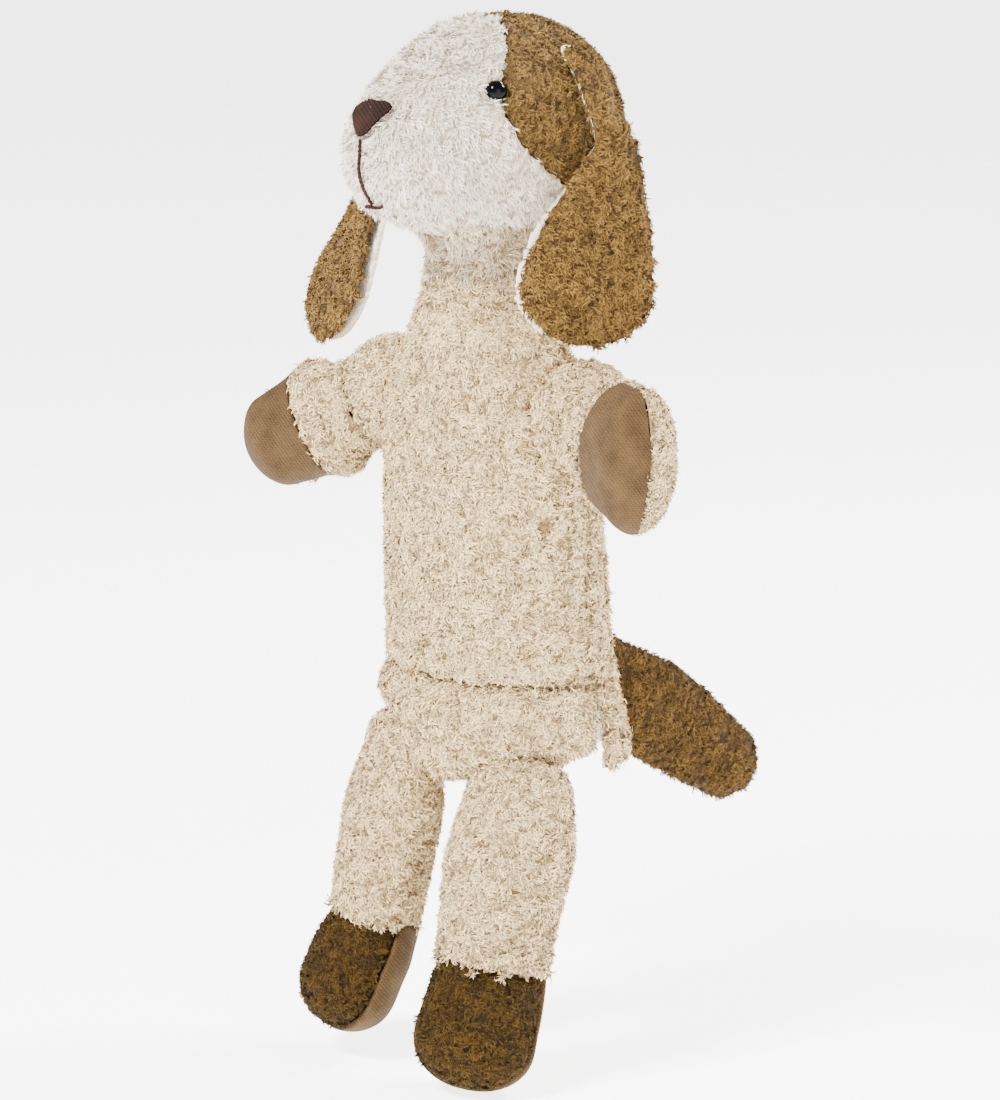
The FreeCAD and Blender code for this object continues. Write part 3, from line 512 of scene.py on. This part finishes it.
def fur(obj, locks, material, density, seed, size=1.0, lean=0.8, swirl=0.006, comb=(0, 0, 0), variation=0.35):
    """Plants pile on a backing and turns the result into a plain mesh."""
    modifier = obj.modifiers.new("pile", "NODES")
    modifier.node_group = PILE
    values = {"Locks": locks, "Locks per square metre": density * 1e6, "Lock size": size, "Lean": lean,
              "Swirl size": swirl, "Combing": comb, "Seed": seed, "Material": material,
              "Size variation": variation}
    for item in PILE.interface.items_tree:
        if item.in_out == "INPUT" and item.name in values:
            modifier[item.identifier] = values[item.name]
    mesh = evaluated(obj)
    obj.modifiers.clear()
    obj.data = mesh
    print(f"{obj.name}: {sum(len(p.vertices) - 2 for p in mesh.polygons)} triangles with its pile")
    return obj


def cover(name, start, end, nodes, depth, arc=(0, 360), reach=0.045, rings=9, around=90,
          tucked=(True, True), dent=0.0, front=Vector((0, -1, 0))):
    """A band of backing that bridges the nodes between start and end: rays find their outer faces, and the
    radii are smoothed along the band. arc is the stretch round the axis, in degrees from front. An end that
    is tucked dips under its neighbour, and dent presses a groove round the middle."""
    shell = joined(nodes)
    tree = ray_tree(shell)
    axis = (end - start).normalized()
    ahead = (front - axis * front.dot(axis)).normalized()
    aside = axis.cross(ahead)
    closed = arc[1] - arc[0] >= 360
    count = around if closed else around + 1
    radii, spokes = np.zeros((rings, count)), []
    for k in range(count):
        angle = math.radians(arc[0] + (arc[1] - arc[0]) * k / around)
        spokes.append(ahead * math.cos(angle) + aside * math.sin(angle))
    for i in range(rings):
        centre = start.lerp(end, i / (rings - 1))
        for k, spoke in enumerate(spokes):
            hit = tree.ray_cast(centre + spoke * reach, -spoke, reach)
            radii[i, k] = reach - hit[3] if hit[0] is not None else np.nan
    radii = np.where(np.isnan(radii), np.nanmedian(radii), radii)
    for _ in range(6):
        padded_rows = np.vstack([radii[:1], radii, radii[-1:]])
        radii = np.maximum(radii, 0.0) * 0.5 + 0.25 * (padded_rows[:-2] + padded_rows[2:])
    taper = dent * np.exp(-(np.linspace(-2.5, 2.5, rings) ** 2))
    taper[0] += 0.0016 * tucked[0]
    taper[-1] += 0.0016 * tucked[1]
    mesh = bmesh.new()
    layers = []
    for wall in (0.0, 0.0009):
        reaches = radii - depth - wall - taper[:, None]
        layers.append([[mesh.verts.new(start.lerp(end, i / (rings - 1)) + spoke * reaches[i, k])
                        for k, spoke in enumerate(spokes)] for i in range(rings)])
    outer, inner = layers
    across = [(k, (k + 1) % count) for k in range(count if closed else count - 1)]
    for i in range(rings - 1):
        for k, after in across:
            mesh.faces.new((outer[i][k], outer[i][after], outer[i + 1][after], outer[i + 1][k]))
            mesh.faces.new((inner[i][k], inner[i + 1][k], inner[i + 1][after], inner[i][after]))
        for k in () if closed else (0, count - 1):
            mesh.faces.new((outer[i][k], outer[i + 1][k], inner[i + 1][k], inner[i][k]))
    for i in (0, rings - 1):
        for k, after in across:
            mesh.faces.new((outer[i][k], outer[i][after], inner[i][after], inner[i][k]))
    bmesh.ops.recalc_face_normals(mesh, faces=mesh.faces)
    data = bpy.data.meshes.new(name)
    mesh.to_mesh(data)
    mesh.free()
    data.polygons.foreach_set("use_smooth", np.ones(len(data.polygons), bool))
    obj = mesh_object(name, data)
    places, normals = arrays(data)
    give(data, "pile", np.einsum("ij,ij->i", from_axis(places, start, end), normals) > 0.1)
    # The backing takes the dark root colour: painted shade between the locks.
    give(data, "tip", np.full(len(places), 0.1))
    give(data, "tone", np.full(len(places), 0.5))
    print(f"{name}: a band {1000 * (end - start).length:.0f} mm long")
    return obj


def ball_zone(name, centre, axis, radius, low, high, wall=0.0016):
    """A closed cloth shell in the shape of a ball with both ends cut off, from low to high along axis."""
    mesh = bmesh.new()
    around, rows = 64, 14
    turn = axis.to_track_quat("Z", "Y").to_matrix()
    loops = []
    for r, heights in ((radius, np.linspace(low, high, rows)), (radius - wall, np.linspace(high, low, rows))):
        for height in heights:
            wide = math.sqrt(max(r * r - height * height, 1e-8))
            loops.append([mesh.verts.new(centre + turn @ Vector((wide * math.cos(a), wide * math.sin(a), height)))
                          for a in np.linspace(0, 2 * math.pi, around, endpoint=False)])
    for first, second in zip(loops, loops[1:] + loops[:1]):
        for k in range(around):
            after = (k + 1) % around
            mesh.faces.new((first[k], first[after], second[after], second[k]))
    bmesh.ops.recalc_face_normals(mesh, faces=mesh.faces)
    data = bpy.data.meshes.new(name)
    mesh.to_mesh(data)
    mesh.free()
    data.polygons.foreach_set("use_smooth", np.ones(len(data.polygons), bool))
    places, normals = arrays(data)
    give(data, "pile", np.einsum("ij,ij->i", from_axis(places, centre, centre), normals) > 0.3)
    # The backing takes the dark root colour: painted shade between the locks.
    give(data, "tip", np.full(len(places), 0.1))
    give(data, "tone", np.full(len(places), 0.5))
    return mesh_object(name, data)


def sew(obj, body, slot, *nodes, padded=None):
    """The piece rides on its body and stands for its CAD nodes, which it hides. The slot, which names a finish, is
    not used.
    """
    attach(obj, body)
    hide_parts(*nodes)
    return obj


# %% [markdown]
# The glove is two plush panels, front and back, with a cotton lining inside. The neck and the two
# armholes are gathered cloth, which turns like a ball in the frame.

# %% Glove, neck and armholes
BODY_DENSITY = 0.37
DOWN = (0, 0, -0.25)
neck_at, waist_at = joint_at["head_turn"], joint_at["seat_swing"]
shoulders = [(joint_at[f"arm_{side}_swing"], 0.021) for side in ("left", "right")]
glove_axis = (middle("glove_hem_band"), neck_at - 0.02 * UP)
def skirt_flare(places):
    """The free lower edge of the back panel stands out a little all round, as it is open and unstuffed."""
    low = np.clip((0.045 - places[:, 2]) / 0.040, 0, 1)
    return from_axis(places, *glove_axis) * (0.0055 * low * low * (3 - 2 * low))[:, None]


for side, seed, shape, density in (("front", 21, None, BODY_DENSITY), ("back", 22, skirt_flare, 0.23)):
    panel = backing(f"glove_{side}", [f"glove_{side}_panel"], 0.0013, 0.0015, glove_axis, keep=0.3, meets=shoulders,
                    shape=shape, edge_below=0.033 if side == "back" else -1.0)
    fur(panel, CURLS, CREAM, density, seed, comb=DOWN, size=1.0 if side == "front" else 1.15)
    sew(panel, "glove", "cream_plush", f"glove_{side}_panel")

top_of_neck = neck_at + 0.021 * (middle("finger_tube") - neck_at).normalized()
neck_nodes = ["glove_front_panel", "glove_back_panel", "neck_sleeve", "face_left", "face_right", "hood_left",
              "hood_right"]
lower = cover("neck_lower", neck_at - 0.022 * UP, neck_at + 0.002 * UP, neck_nodes, 0.0010,
              tucked=(True, False))
fur(lower, CURLS, CREAM, BODY_DENSITY, 23, comb=DOWN)
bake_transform(lower)
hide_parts("neck_sleeve")
upper = cover("neck_upper", neck_at - 0.002 * UP, top_of_neck, neck_nodes, 0.0010, tucked=(False, True))
fur(upper, BRUSHED, NECK, BODY_DENSITY, 25, comb=(0, 0, -0.5), size=1.1)
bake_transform(upper)

for side in ("left", "right"):
    centre = joint_at[f"arm_{side}_swing"]
    outward = (middle(f"paw_pad_{side}") - centre).normalized()
    gather = ball_zone(f"armhole_{side}", centre, outward, 0.0188, -0.016, 0.0135)
    fur(gather, CURLS, CREAM, BODY_DENSITY, 24, comb=DOWN)
    sew(gather, f"shoulder_{side}", "cream_plush", f"armhole_ring_{side}")

waist_axis = Vector((0, glove_axis[0].y, waist_at.z))
waist = cover("waist_fold", waist_axis - 0.009 * UP, waist_axis + 0.009 * UP,
              ["glove_front_panel", "seat_front_panel"], 0.0008, arc=(-78, 78), reach=0.060, dent=0.0050)
fur(waist, CURLS, CREAM, BODY_DENSITY, 26, comb=DOWN)
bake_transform(waist)

for side in ("front", "back"):
    lining = backing(f"lining_{side}", [f"glove_{side}_lining"], 0.0009, 0.0, keep=0.25,
                     shape=skirt_flare if side == "back" else None)
    lining.data.materials.append(COTTON)
    sew(lining, "glove", "lining_cotton", f"glove_{side}_lining")
hem = backing("hem_band", ["glove_hem_band"], 0.0008, 0.0, keep=0.4, shape=skirt_flare)
hem.data.materials.append(COTTON)
sew(hem, "glove", "lining_cotton", "glove_hem_band")

# %% [markdown]
# The head is two fabrics on one stuffed ball: short brushed white pile on the face, brown curls on the hood.
# Both backings are drawn in from an axis through the head, so that their inner faces stay where they are.

# %% Head
head_centre = middle("face_left", "face_right", "hood_left", "hood_right")
muzzle_centre = middle("nose") * 0.55 + head_centre * 0.45
head_axis = (head_centre, muzzle_centre)
face = backing("face", ["face_left", "face_right"], 0.0012, 0.0014, head_axis, keep=0.4)
fur(face, BRUSHED, WHITE, 0.42, 31, lean=0.55, comb=(0, 0, -0.4), size=1.0, variation=0.5)
sew(face, "head", "white_plush", "face_left", "face_right", "head_stuffing", padded=0.8)
hood = backing("hood", ["hood_left", "hood_right"], 0.0012, 0.0014, head_axis, keep=0.4)
fur(hood, CURLS, BROWN, 0.38, 32, size=0.85, comb=(0, 0.1, -0.3))
sew(hood, "head", "brown_plush", "hood_left", "hood_right")
tube = backing("finger_tube_lining", ["finger_tube"], 0.0008, 0.0, keep=0.5)
tube.data.materials.append(COTTON)
sew(tube, "head", "lining_cotton", "finger_tube")

# %% [markdown]
# An ear is a flap of plush with a velour lining. Rays from the flap towards the lining find where the lining
# covers it, and no pile grows there. A short table of widths and swings gives the flap its drop shape.

# %% Ears
def reshaped(obj, shape):
    """Moves every vertex by what shape gives for its place."""
    places, _ = arrays(obj.data)
    obj.data.vertices.foreach_set("co", (places + shape(places)).ravel())
    obj.data.update()


SIDEWAYS = np.array((math.cos(math.radians(40)), math.sin(math.radians(40)), 0))
EAR_DEPTHS = (0.0, 0.016, 0.030, 0.052, 0.074, 0.095)      # below the ear's root
EAR_FORMS = {                                              # at each depth: width share, and swing forward
    "left": ((0.50, 0.48, 0.58, 0.90, 1.06, 1.00), (0.0040, 0.0045, 0.0015, 0.0065, 0.0090, 0.0085)),
    "right": ((0.80, 0.90, 1.00, 1.10, 1.15, 1.12), (0.0, 0.0, -0.001, -0.003, -0.005, -0.006)),
}
for side, sign, drop in (("left", 1, 0.0), ("right", -1, 0.08)):
    name = f"ear_{side}"
    root = joint_at[f"{name}_flap"]
    ear_middle = middle(f"{name}_outer")
    widths, swings = EAR_FORMS[side]

    def drooped(places, border=0.0):
        """A narrow gathered root, tucked towards the head, above a broad loose end that swings forward."""
        depth = root.z - places[:, 2]
        push = np.zeros_like(places)
        push[:, 1] = (places[:, 1] - ear_middle.y) * (np.interp(depth, EAR_DEPTHS, widths) - 1)
        swing = np.interp(depth, EAR_DEPTHS, swings)
        push += np.outer(swing, (-0.4 * sign, -1.08, 0))
        push[:, 0] -= sign * 0.0035 * (1 - np.clip((depth + 0.006) / 0.016, 0, 1))
        push[:, 2] -= drop * np.maximum(depth, 0)
        low = np.clip((depth - 0.035) / 0.025, 0, 1)
        push -= np.outer(sign * border * low, SIDEWAYS)
        push[:, 1] -= (places[:, 1] - ear_middle.y - 0.002) * 0.30 * (1 - low) * (border > 0)
        push[:, 0] -= sign * 0.0012 * (1 - low) * (border > 0)
        return push

    flap = backing(f"{name}_flap", [f"{name}_outer"], 0.0010, 0.0006, keep=0.4)
    lining_mesh = joined([f"{name}_lining"])
    lining_tree = ray_tree(lining_mesh)
    open_air = [lining_tree.ray_cast(v.co + v.normal * 0.0002, v.normal, 0.006)[0] is None
                for v in flap.data.vertices]
    give(flap.data, "pile", np.array(open_air, float))
    reshaped(flap, drooped)
    fur(flap, CURLS, BROWN, 0.42, 41 + sign, size=0.9, comb=(0, 0, -0.4))
    sew(flap, name, "brown_plush", f"{name}_outer")
    lining = backing(f"{name}_velour", [f"{name}_lining"], 0.0008, -0.0006, keep=0.5)
    reshaped(lining, lambda places: drooped(places, 0.0028))
    lining.data.materials.append(EAR_VELOUR)
    sew(lining, name, "cream_velour", f"{name}_lining")

# %% [markdown]
# An arm is two half sleeves and a velour pad for the paw. Near the shoulder the sleeves keep their full
# size, so that they meet the gathered cloth of the armhole.

# %% Arms
for side in ("left", "right"):
    body = f"arm_{side}"
    shoulder = joint_at[f"arm_{side}_swing"]
    paw_end = middle(f"paw_pad_{side}")
    axis = (shoulder, paw_end)
    for half in ("front", "back"):
        sleeve = backing(f"sleeve_{side}_{half}_plush", [f"sleeve_{side}_{half}"], 0.0012, 0.0012, axis, keep=0.4,
                         meets=shoulders)
        fur(sleeve, CURLS, CREAM, BODY_DENSITY, 51, comb=(0, 0, -0.3))
        sew(sleeve, body, "cream_plush", f"sleeve_{side}_{half}")
    pad = backing(f"paw_pad_{side}_velour", [f"paw_pad_{side}"], 0.0009, 0.0003, axis, keep=0.6)
    pad.data.materials.append(PAD)
    sew(pad, body, "taupe_velour", f"paw_pad_{side}")

# %% [markdown]
# The padded seat bridges its leg slots, so it starts from a hull. Its pad bulges over the tops of the legs,
# and its sides reach the slit of the glove.

# %% Seat, legs and feet
seat_middle = middle("seat_front_panel")


def padded_front(places):
    """The padded seat bulges forward over the tops of the legs, and its lower edge is pulled up between them."""
    ahead = np.clip((seat_middle.y + 0.004 - places[:, 1]) / 0.016, 0, 1)
    low = 1 - np.clip((places[:, 2] - 0.004) / 0.022, 0, 1)
    push = np.zeros_like(places)
    push[:, 1] -= 0.0045 * ahead * low
    push[:, 2] = np.where(places[:, 2] < 0, -0.42 * places[:, 2], 0)
    behind = np.clip((places[:, 1] - seat_middle.y) / 0.020, 0, 1)
    beside = np.clip((np.abs(places[:, 0]) - 0.020) / 0.020, 0, 1)
    below_waist = np.clip((0.034 - places[:, 2]) / 0.014, 0, 1)
    push[:, 0] += np.sign(places[:, 0]) * 0.0035 * beside * below_waist
    push[:, 1] += 0.0050 * behind * beside * below_waist
    return push


seat = backing("seat_plush", ["seat_front_panel", "seat_stuffing", "seat_back_panel"], 0.0018, 0.0008,
               shape=padded_front, filled=True)
fur(seat, CURLS, CREAM, BODY_DENSITY, 61, comb=(0, 0, -0.25))
sew(seat, "seat", "cream_plush", "seat_front_panel", "seat_stuffing", padded=0.7)
seat_back = backing("seat_back", ["seat_back_panel"], 0.0009, 0.0, keep=0.5)
reshaped(seat_back, lambda places: np.full_like(places, 0) + (0, 0.0012, 0))
seat_back.data.materials.append(COTTON)
sew(seat_back, "seat", "lining_cotton", "seat_back_panel")
for side in ("left", "right"):
    nodes = [f"leg_{side}_{part}" for part in ("front", "back", "stuffing")]
    hip = joint_at[f"leg_{side}_swing"]

    def tucked_top(places):
        """The top of the leg is drawn in where it is sewn into the seat."""
        near = 1 - np.clip((hip.z - places[:, 2] - 0.004) / 0.018, 0, 1)
        out = places - np.array(hip)
        return -out * (0.20 * near)[:, None]

    ankle = joint_at[f"foot_{side}_bend"]
    leg = backing(f"leg_{side}_plush", nodes, 0.0018, 0.0016, (hip, ankle + (ankle - hip) * 0.2), shape=tucked_top)
    fur(leg, CURLS, CREAM, BODY_DENSITY, 62, comb=(0, 0, -0.35))
    sew(leg, f"leg_{side}", "cream_plush", *nodes, padded=0.8)
    upper = backing(f"foot_{side}_plush", [f"foot_{side}_upper", f"foot_{side}_stuffing"], 0.0016, 0.0014)
    fur(upper, CURLS, DARK, 0.42, 63, size=0.85, comb=(0, 0, -0.3))
    sew(upper, f"foot_{side}", "dark_plush", f"foot_{side}_upper", f"foot_{side}_stuffing", padded=0.8)
    sole = backing(f"foot_{side}_velour", [f"foot_{side}_sole"], 0.0010, 0.0, keep=0.5)
    sole.data.materials.append(PAD)
    sew(sole, f"foot_{side}", "taupe_velour", f"foot_{side}_sole")

# %% [markdown]
# The tail's curls are combed along the tail, away from its root.

# %% Tail
nodes = ["tail_left_panel", "tail_right_panel", "tail_stuffing"]
tail = backing("tail_plush", nodes, 0.0018, 0.0014)
tail_axis = (middle(*nodes) - joint_at["tail_wag"]).normalized()
fur(tail, CURLS, TAIL_BROWN, 0.42, 71, size=0.85, comb=tuple(0.5 * tail_axis))
sew(tail, "tail", "brown_plush", *nodes, padded=0.6)

# %% [markdown]
# The nose is satin stitch: threads laid side by side over a small pad, each found by a row of rays. The line
# and the mouth are two-ply thread, which winds round the middle of its CAD solid.

# %% Nose, mouth and eyes
def thread_tree():
    """Round threads along curves, with one number for their thickness."""
    tree = bpy.data.node_groups.new("threads", "GeometryNodeTree")
    socket(tree, "Geometry", "Paths")
    socket(tree, "Float", "Thread radius", 0.0003)
    socket(tree, "Float", "Step", 0.0006)
    socket(tree, "Material", "Material")
    socket(tree, "Geometry", "Threads", out=True)
    given = add(tree, "NodeGroupInput").outputs
    even = add(tree, "GeometryNodeResampleCurve", ("Curve", given["Paths"]), ("Length", given["Step"]), mode="LENGTH")
    section = add(tree, "GeometryNodeCurvePrimitiveCircle", ("Resolution", 6), ("Radius", given["Thread radius"]))
    tube = add(tree, "GeometryNodeCurveToMesh", ("Curve", even.outputs[0]), ("Profile Curve", section.outputs[0]),
               ("Fill Caps", True))
    smooth = add(tree, "GeometryNodeSetShadeSmooth", (0, tube.outputs[0]))
    real = add(tree, "GeometryNodeRealizeInstances", (0, smooth.outputs[0]))
    finished = add(tree, "GeometryNodeSetMaterial", (0, real.outputs[0]), ("Material", given["Material"]))
    add(tree, "NodeGroupOutput", ("Threads", finished.outputs[0]))
    return tree


THREADS = thread_tree()


def threads(name, paths, radius, material):
    """A plain mesh of threads along the paths, each a list of points."""
    curve = bpy.data.curves.new(name, "CURVE")
    curve.dimensions = "3D"
    for path in paths:
        spline = curve.splines.new("POLY")
        spline.points.add(len(path) - 1)
        spline.points.foreach_set("co", np.hstack([np.array(path), np.ones((len(path), 1))]).ravel())
    holder = mesh_object(f"{name}_paths", curve)
    modifier = holder.modifiers.new("threads", "NODES")
    modifier.node_group = THREADS
    for item in THREADS.interface.items_tree:
        if item.in_out == "INPUT" and item.name in ("Thread radius", "Material"):
            modifier[item.identifier] = radius if item.name == "Thread radius" else material
    obj = mesh_object(name, evaluated(holder))
    bpy.data.objects.remove(holder)
    print(f"{name}: {len(paths)} threads")
    return obj


def joined_objects(name, objects):
    """One object that holds the meshes and materials of several."""
    whole = bmesh.new()
    for obj in objects:
        whole.from_mesh(obj.data)
    data = bpy.data.meshes.new(name)
    whole.to_mesh(data)
    whole.free()
    data.materials.append(objects[0].data.materials[0])
    for obj in objects:
        bpy.data.objects.remove(obj)
    return mesh_object(name, data)


nose_middle = middle("nose")
nose_out = (nose_middle - head_centre).normalized()
nose_up = (UP - nose_out * UP.dot(nose_out)).normalized()
nose_side = nose_up.cross(nose_out)
nose_core = backing("nose_core", ["nose"], 0.0004, 0.0, smooth=30)
nose_core.data.materials.append(NOSE_THREAD)
core_tree = ray_tree(nose_core.data)
stitches = []
for u in np.arange(-0.0108, 0.0109, 0.00080):
    path = []
    for v in np.arange(0.0085, -0.0086, -0.0006):
        hit = core_tree.ray_cast(nose_middle + nose_side * u + nose_up * v + nose_out * 0.02, -nose_out, 0.03)
        if hit[0] is not None and hit[1].dot(nose_out) > 0.05:
            path.append(hit[0] + nose_out * 0.00012)
    if len(path) > 3:
        stitches.append(path)
satin = threads("nose_satin", stitches, 0.00050, NOSE_THREAD)
nose = joined_objects("nose_satin_stitch", [nose_core, satin])
sew(nose, "head", "nose_thread", "nose")


def centreline(name, along, count=24):
    """The middle of a thread-like CAD node, in slices along a direction."""
    places = np.array([v.co for v in joined([name]).vertices])
    share = places @ np.array(along)
    edges = np.linspace(share.min(), share.max(), count + 1)
    path = []
    for low_edge, high_edge in zip(edges[:-1], edges[1:]):
        inside = places[(share >= low_edge) & (share <= high_edge)]
        if len(inside):
            path.append(inside.mean(axis=0))
    path = np.array(path)
    for _ in range(3):
        path[1:-1] = 0.5 * path[1:-1] + 0.25 * (path[:-2] + path[2:])
    return path


def twisted(path, radius, pitch, plies=2):
    """Ply paths that wind round a path like twisted thread."""
    fine = np.array([path[min(int(t), len(path) - 2)] * (1 - (t - min(int(t), len(path) - 2)))
                     + path[min(int(t), len(path) - 2) + 1] * (t - min(int(t), len(path) - 2))
                     for t in np.linspace(0, len(path) - 1, 90)])
    steps = np.linalg.norm(np.diff(fine, axis=0, prepend=fine[:1]), axis=1).cumsum()
    tangents = np.gradient(fine, axis=0)
    tangents /= np.linalg.norm(tangents, axis=1)[:, None]
    first = np.cross(tangents, np.array(nose_out))
    first /= np.linalg.norm(first, axis=1)[:, None]
    second = np.cross(tangents, first)
    result = []
    for ply in range(plies):
        angle = 2 * math.pi * (steps / pitch + ply / plies)
        result.append(fine + radius * (first * np.cos(angle)[:, None] + second * np.sin(angle)[:, None]))
    return result


for name, along in (("nose_line_stitch", -nose_up), ("mouth_stitch", nose_side)):
    path = centreline(name, along)
    path = path[5:-5] if name == "mouth_stitch" else path
    strand = threads(f"{name}_thread", twisted(path, 0.00034, 0.0030), 0.00042, LINE_THREAD)
    sew(strand, "head", "line_thread", name)

eye_material, eye_tree, eye_shader = new_material("black_gloss_eye")
speckle = add(eye_tree, "ShaderNodeTexNoise", ("Scale", 900.0))
depth = add(eye_tree, "ShaderNodeValToRGB", (0, speckle.outputs["Fac"]))
depth.color_ramp.elements[0].color = (0.0005, 0.0005, 0.0008, 1)
depth.color_ramp.elements[1].color = (0.003, 0.0025, 0.003, 1)
eye_tree.links.new(add(eye_tree, "ShaderNodeTexCoord").outputs["Object"], speckle.inputs["Vector"])
eye_tree.links.new(depth.outputs[0], eye_shader.inputs["Base Color"])
eye_shader.inputs["Roughness"].default_value = 0.08
eye_shader.inputs["Specular IOR Level"].default_value = 0.07
for side in ("left", "right"):
    seat_of_eye, top_of_eye = middle(f"eye_washer_{side}"), middle(f"eye_{side}")
    eye = backing(f"eye_{side}_dome", [f"eye_{side}"], 0.0003, 0.0, smooth=6)
    sunk = (seat_of_eye - top_of_eye).normalized() * 0.0009
    reshaped(eye, lambda places: (np.array(top_of_eye) - places) * 0.25 + np.array(sunk))
    eye.data.materials.append(eye_material)
    sew(eye, "head", "eye_black", f"eye_{side}")
    washer = frame["nodes"][f"eye_washer_{side}"]
    washer.data.materials.clear()
    washer.data.materials.append(WASHER)

# %% [markdown]
# A long lens from the front left, a little above. Three softboxes and a pale floor make an even studio.

# %% Camera, light and floor
low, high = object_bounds()
AZIMUTH, ELEVATION, DISTANCE = math.radians(40), math.radians(12), 1.8
level = math.cos(ELEVATION)
back = Vector((math.sin(AZIMUTH) * level, -math.cos(AZIMUTH) * level, math.sin(ELEVATION)))
right = Vector((math.cos(AZIMUTH), math.sin(AZIMUTH), 0))
target = Vector((0, 0, 0.0702)) - 0.0007 * right
camera = bpy.data.objects.new("camera", bpy.data.cameras.new("camera"))
camera.data.sensor_fit, camera.data.sensor_width = "HORIZONTAL", 36.0
camera.data.lens = 36.0 * DISTANCE / 0.350
looking = back.to_track_quat("Z", "Y").to_matrix().to_4x4()
camera.matrix_world = Matrix.Translation(target + DISTANCE * back) @ looking
bpy.context.scene.collection.objects.link(camera)
bpy.context.scene.camera = camera


def softbox(name, place, size, power, colour=(1, 1, 1)):
    light = bpy.data.lights.new(name, "AREA")
    light.shape, light.size, light.energy, light.color = "DISK", size, power, colour
    lamp = bpy.data.objects.new(name, light)
    aimed = (place - target).to_track_quat("Z", "Y").to_matrix().to_4x4()
    lamp.matrix_world = Matrix.Translation(place) @ aimed
    bpy.context.scene.collection.objects.link(lamp)


softbox("key", target + 0.8 * back - 1.0 * right + 1.2 * UP, 0.5, 135)
softbox("rim", target - 0.4 * back + 1.1 * right + 1.1 * UP, 0.5, 80)
softbox("fill", target + 1.3 * back + 0.6 * right + 0.1 * UP, 1.0, 16)
world = bpy.data.worlds.new("studio")
world.use_nodes = True
world.node_tree.nodes["Background"].inputs["Color"].default_value = (1, 0.99, 0.97, 1)
world.node_tree.nodes["Background"].inputs["Strength"].default_value = 0.38
bpy.context.scene.world = world

floor_mesh = bmesh.new()
bmesh.ops.create_grid(floor_mesh, x_segments=8, y_segments=8, size=14)
floor_data = bpy.data.meshes.new("floor")
floor_mesh.to_mesh(floor_data)
floor_mesh.free()
floor_data.transform(Matrix.Translation((0, 0, low.z - 0.001)))
floor = mesh_object("floor", floor_data)
floor_material, floor_tree, floor_shader = new_material("pale_floor")
grain = add(floor_tree, "ShaderNodeTexNoise", ("Scale", 3.0))
tint = add(floor_tree, "ShaderNodeValToRGB", (0, grain.outputs["Fac"]))
tint.color_ramp.elements[0].color = (0.90, 0.90, 0.89, 1)
tint.color_ramp.elements[1].color = (0.94, 0.94, 0.93, 1)
floor_tree.links.new(tint.outputs[0], floor_shader.inputs["Base Color"])
floor_shader.inputs["Roughness"].default_value = 0.9
floor_tree.links.new(tint.outputs[0], floor_shader.inputs["Emission Color"])
floor_shader.inputs["Emission Strength"].default_value = 4.0
floor_data.materials.append(floor_material)
floor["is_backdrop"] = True

# %% Sizes and the end
low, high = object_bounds()
shown = [o for o in bpy.data.objects if o.type == "MESH" and not o.hide_render]
print("triangles:", sum(len(p.vertices) - 2 for o in shown for p in o.data.polygons))
print("visual box in mm:", [round(1000 * v, 1) for v in (*low, *high)])
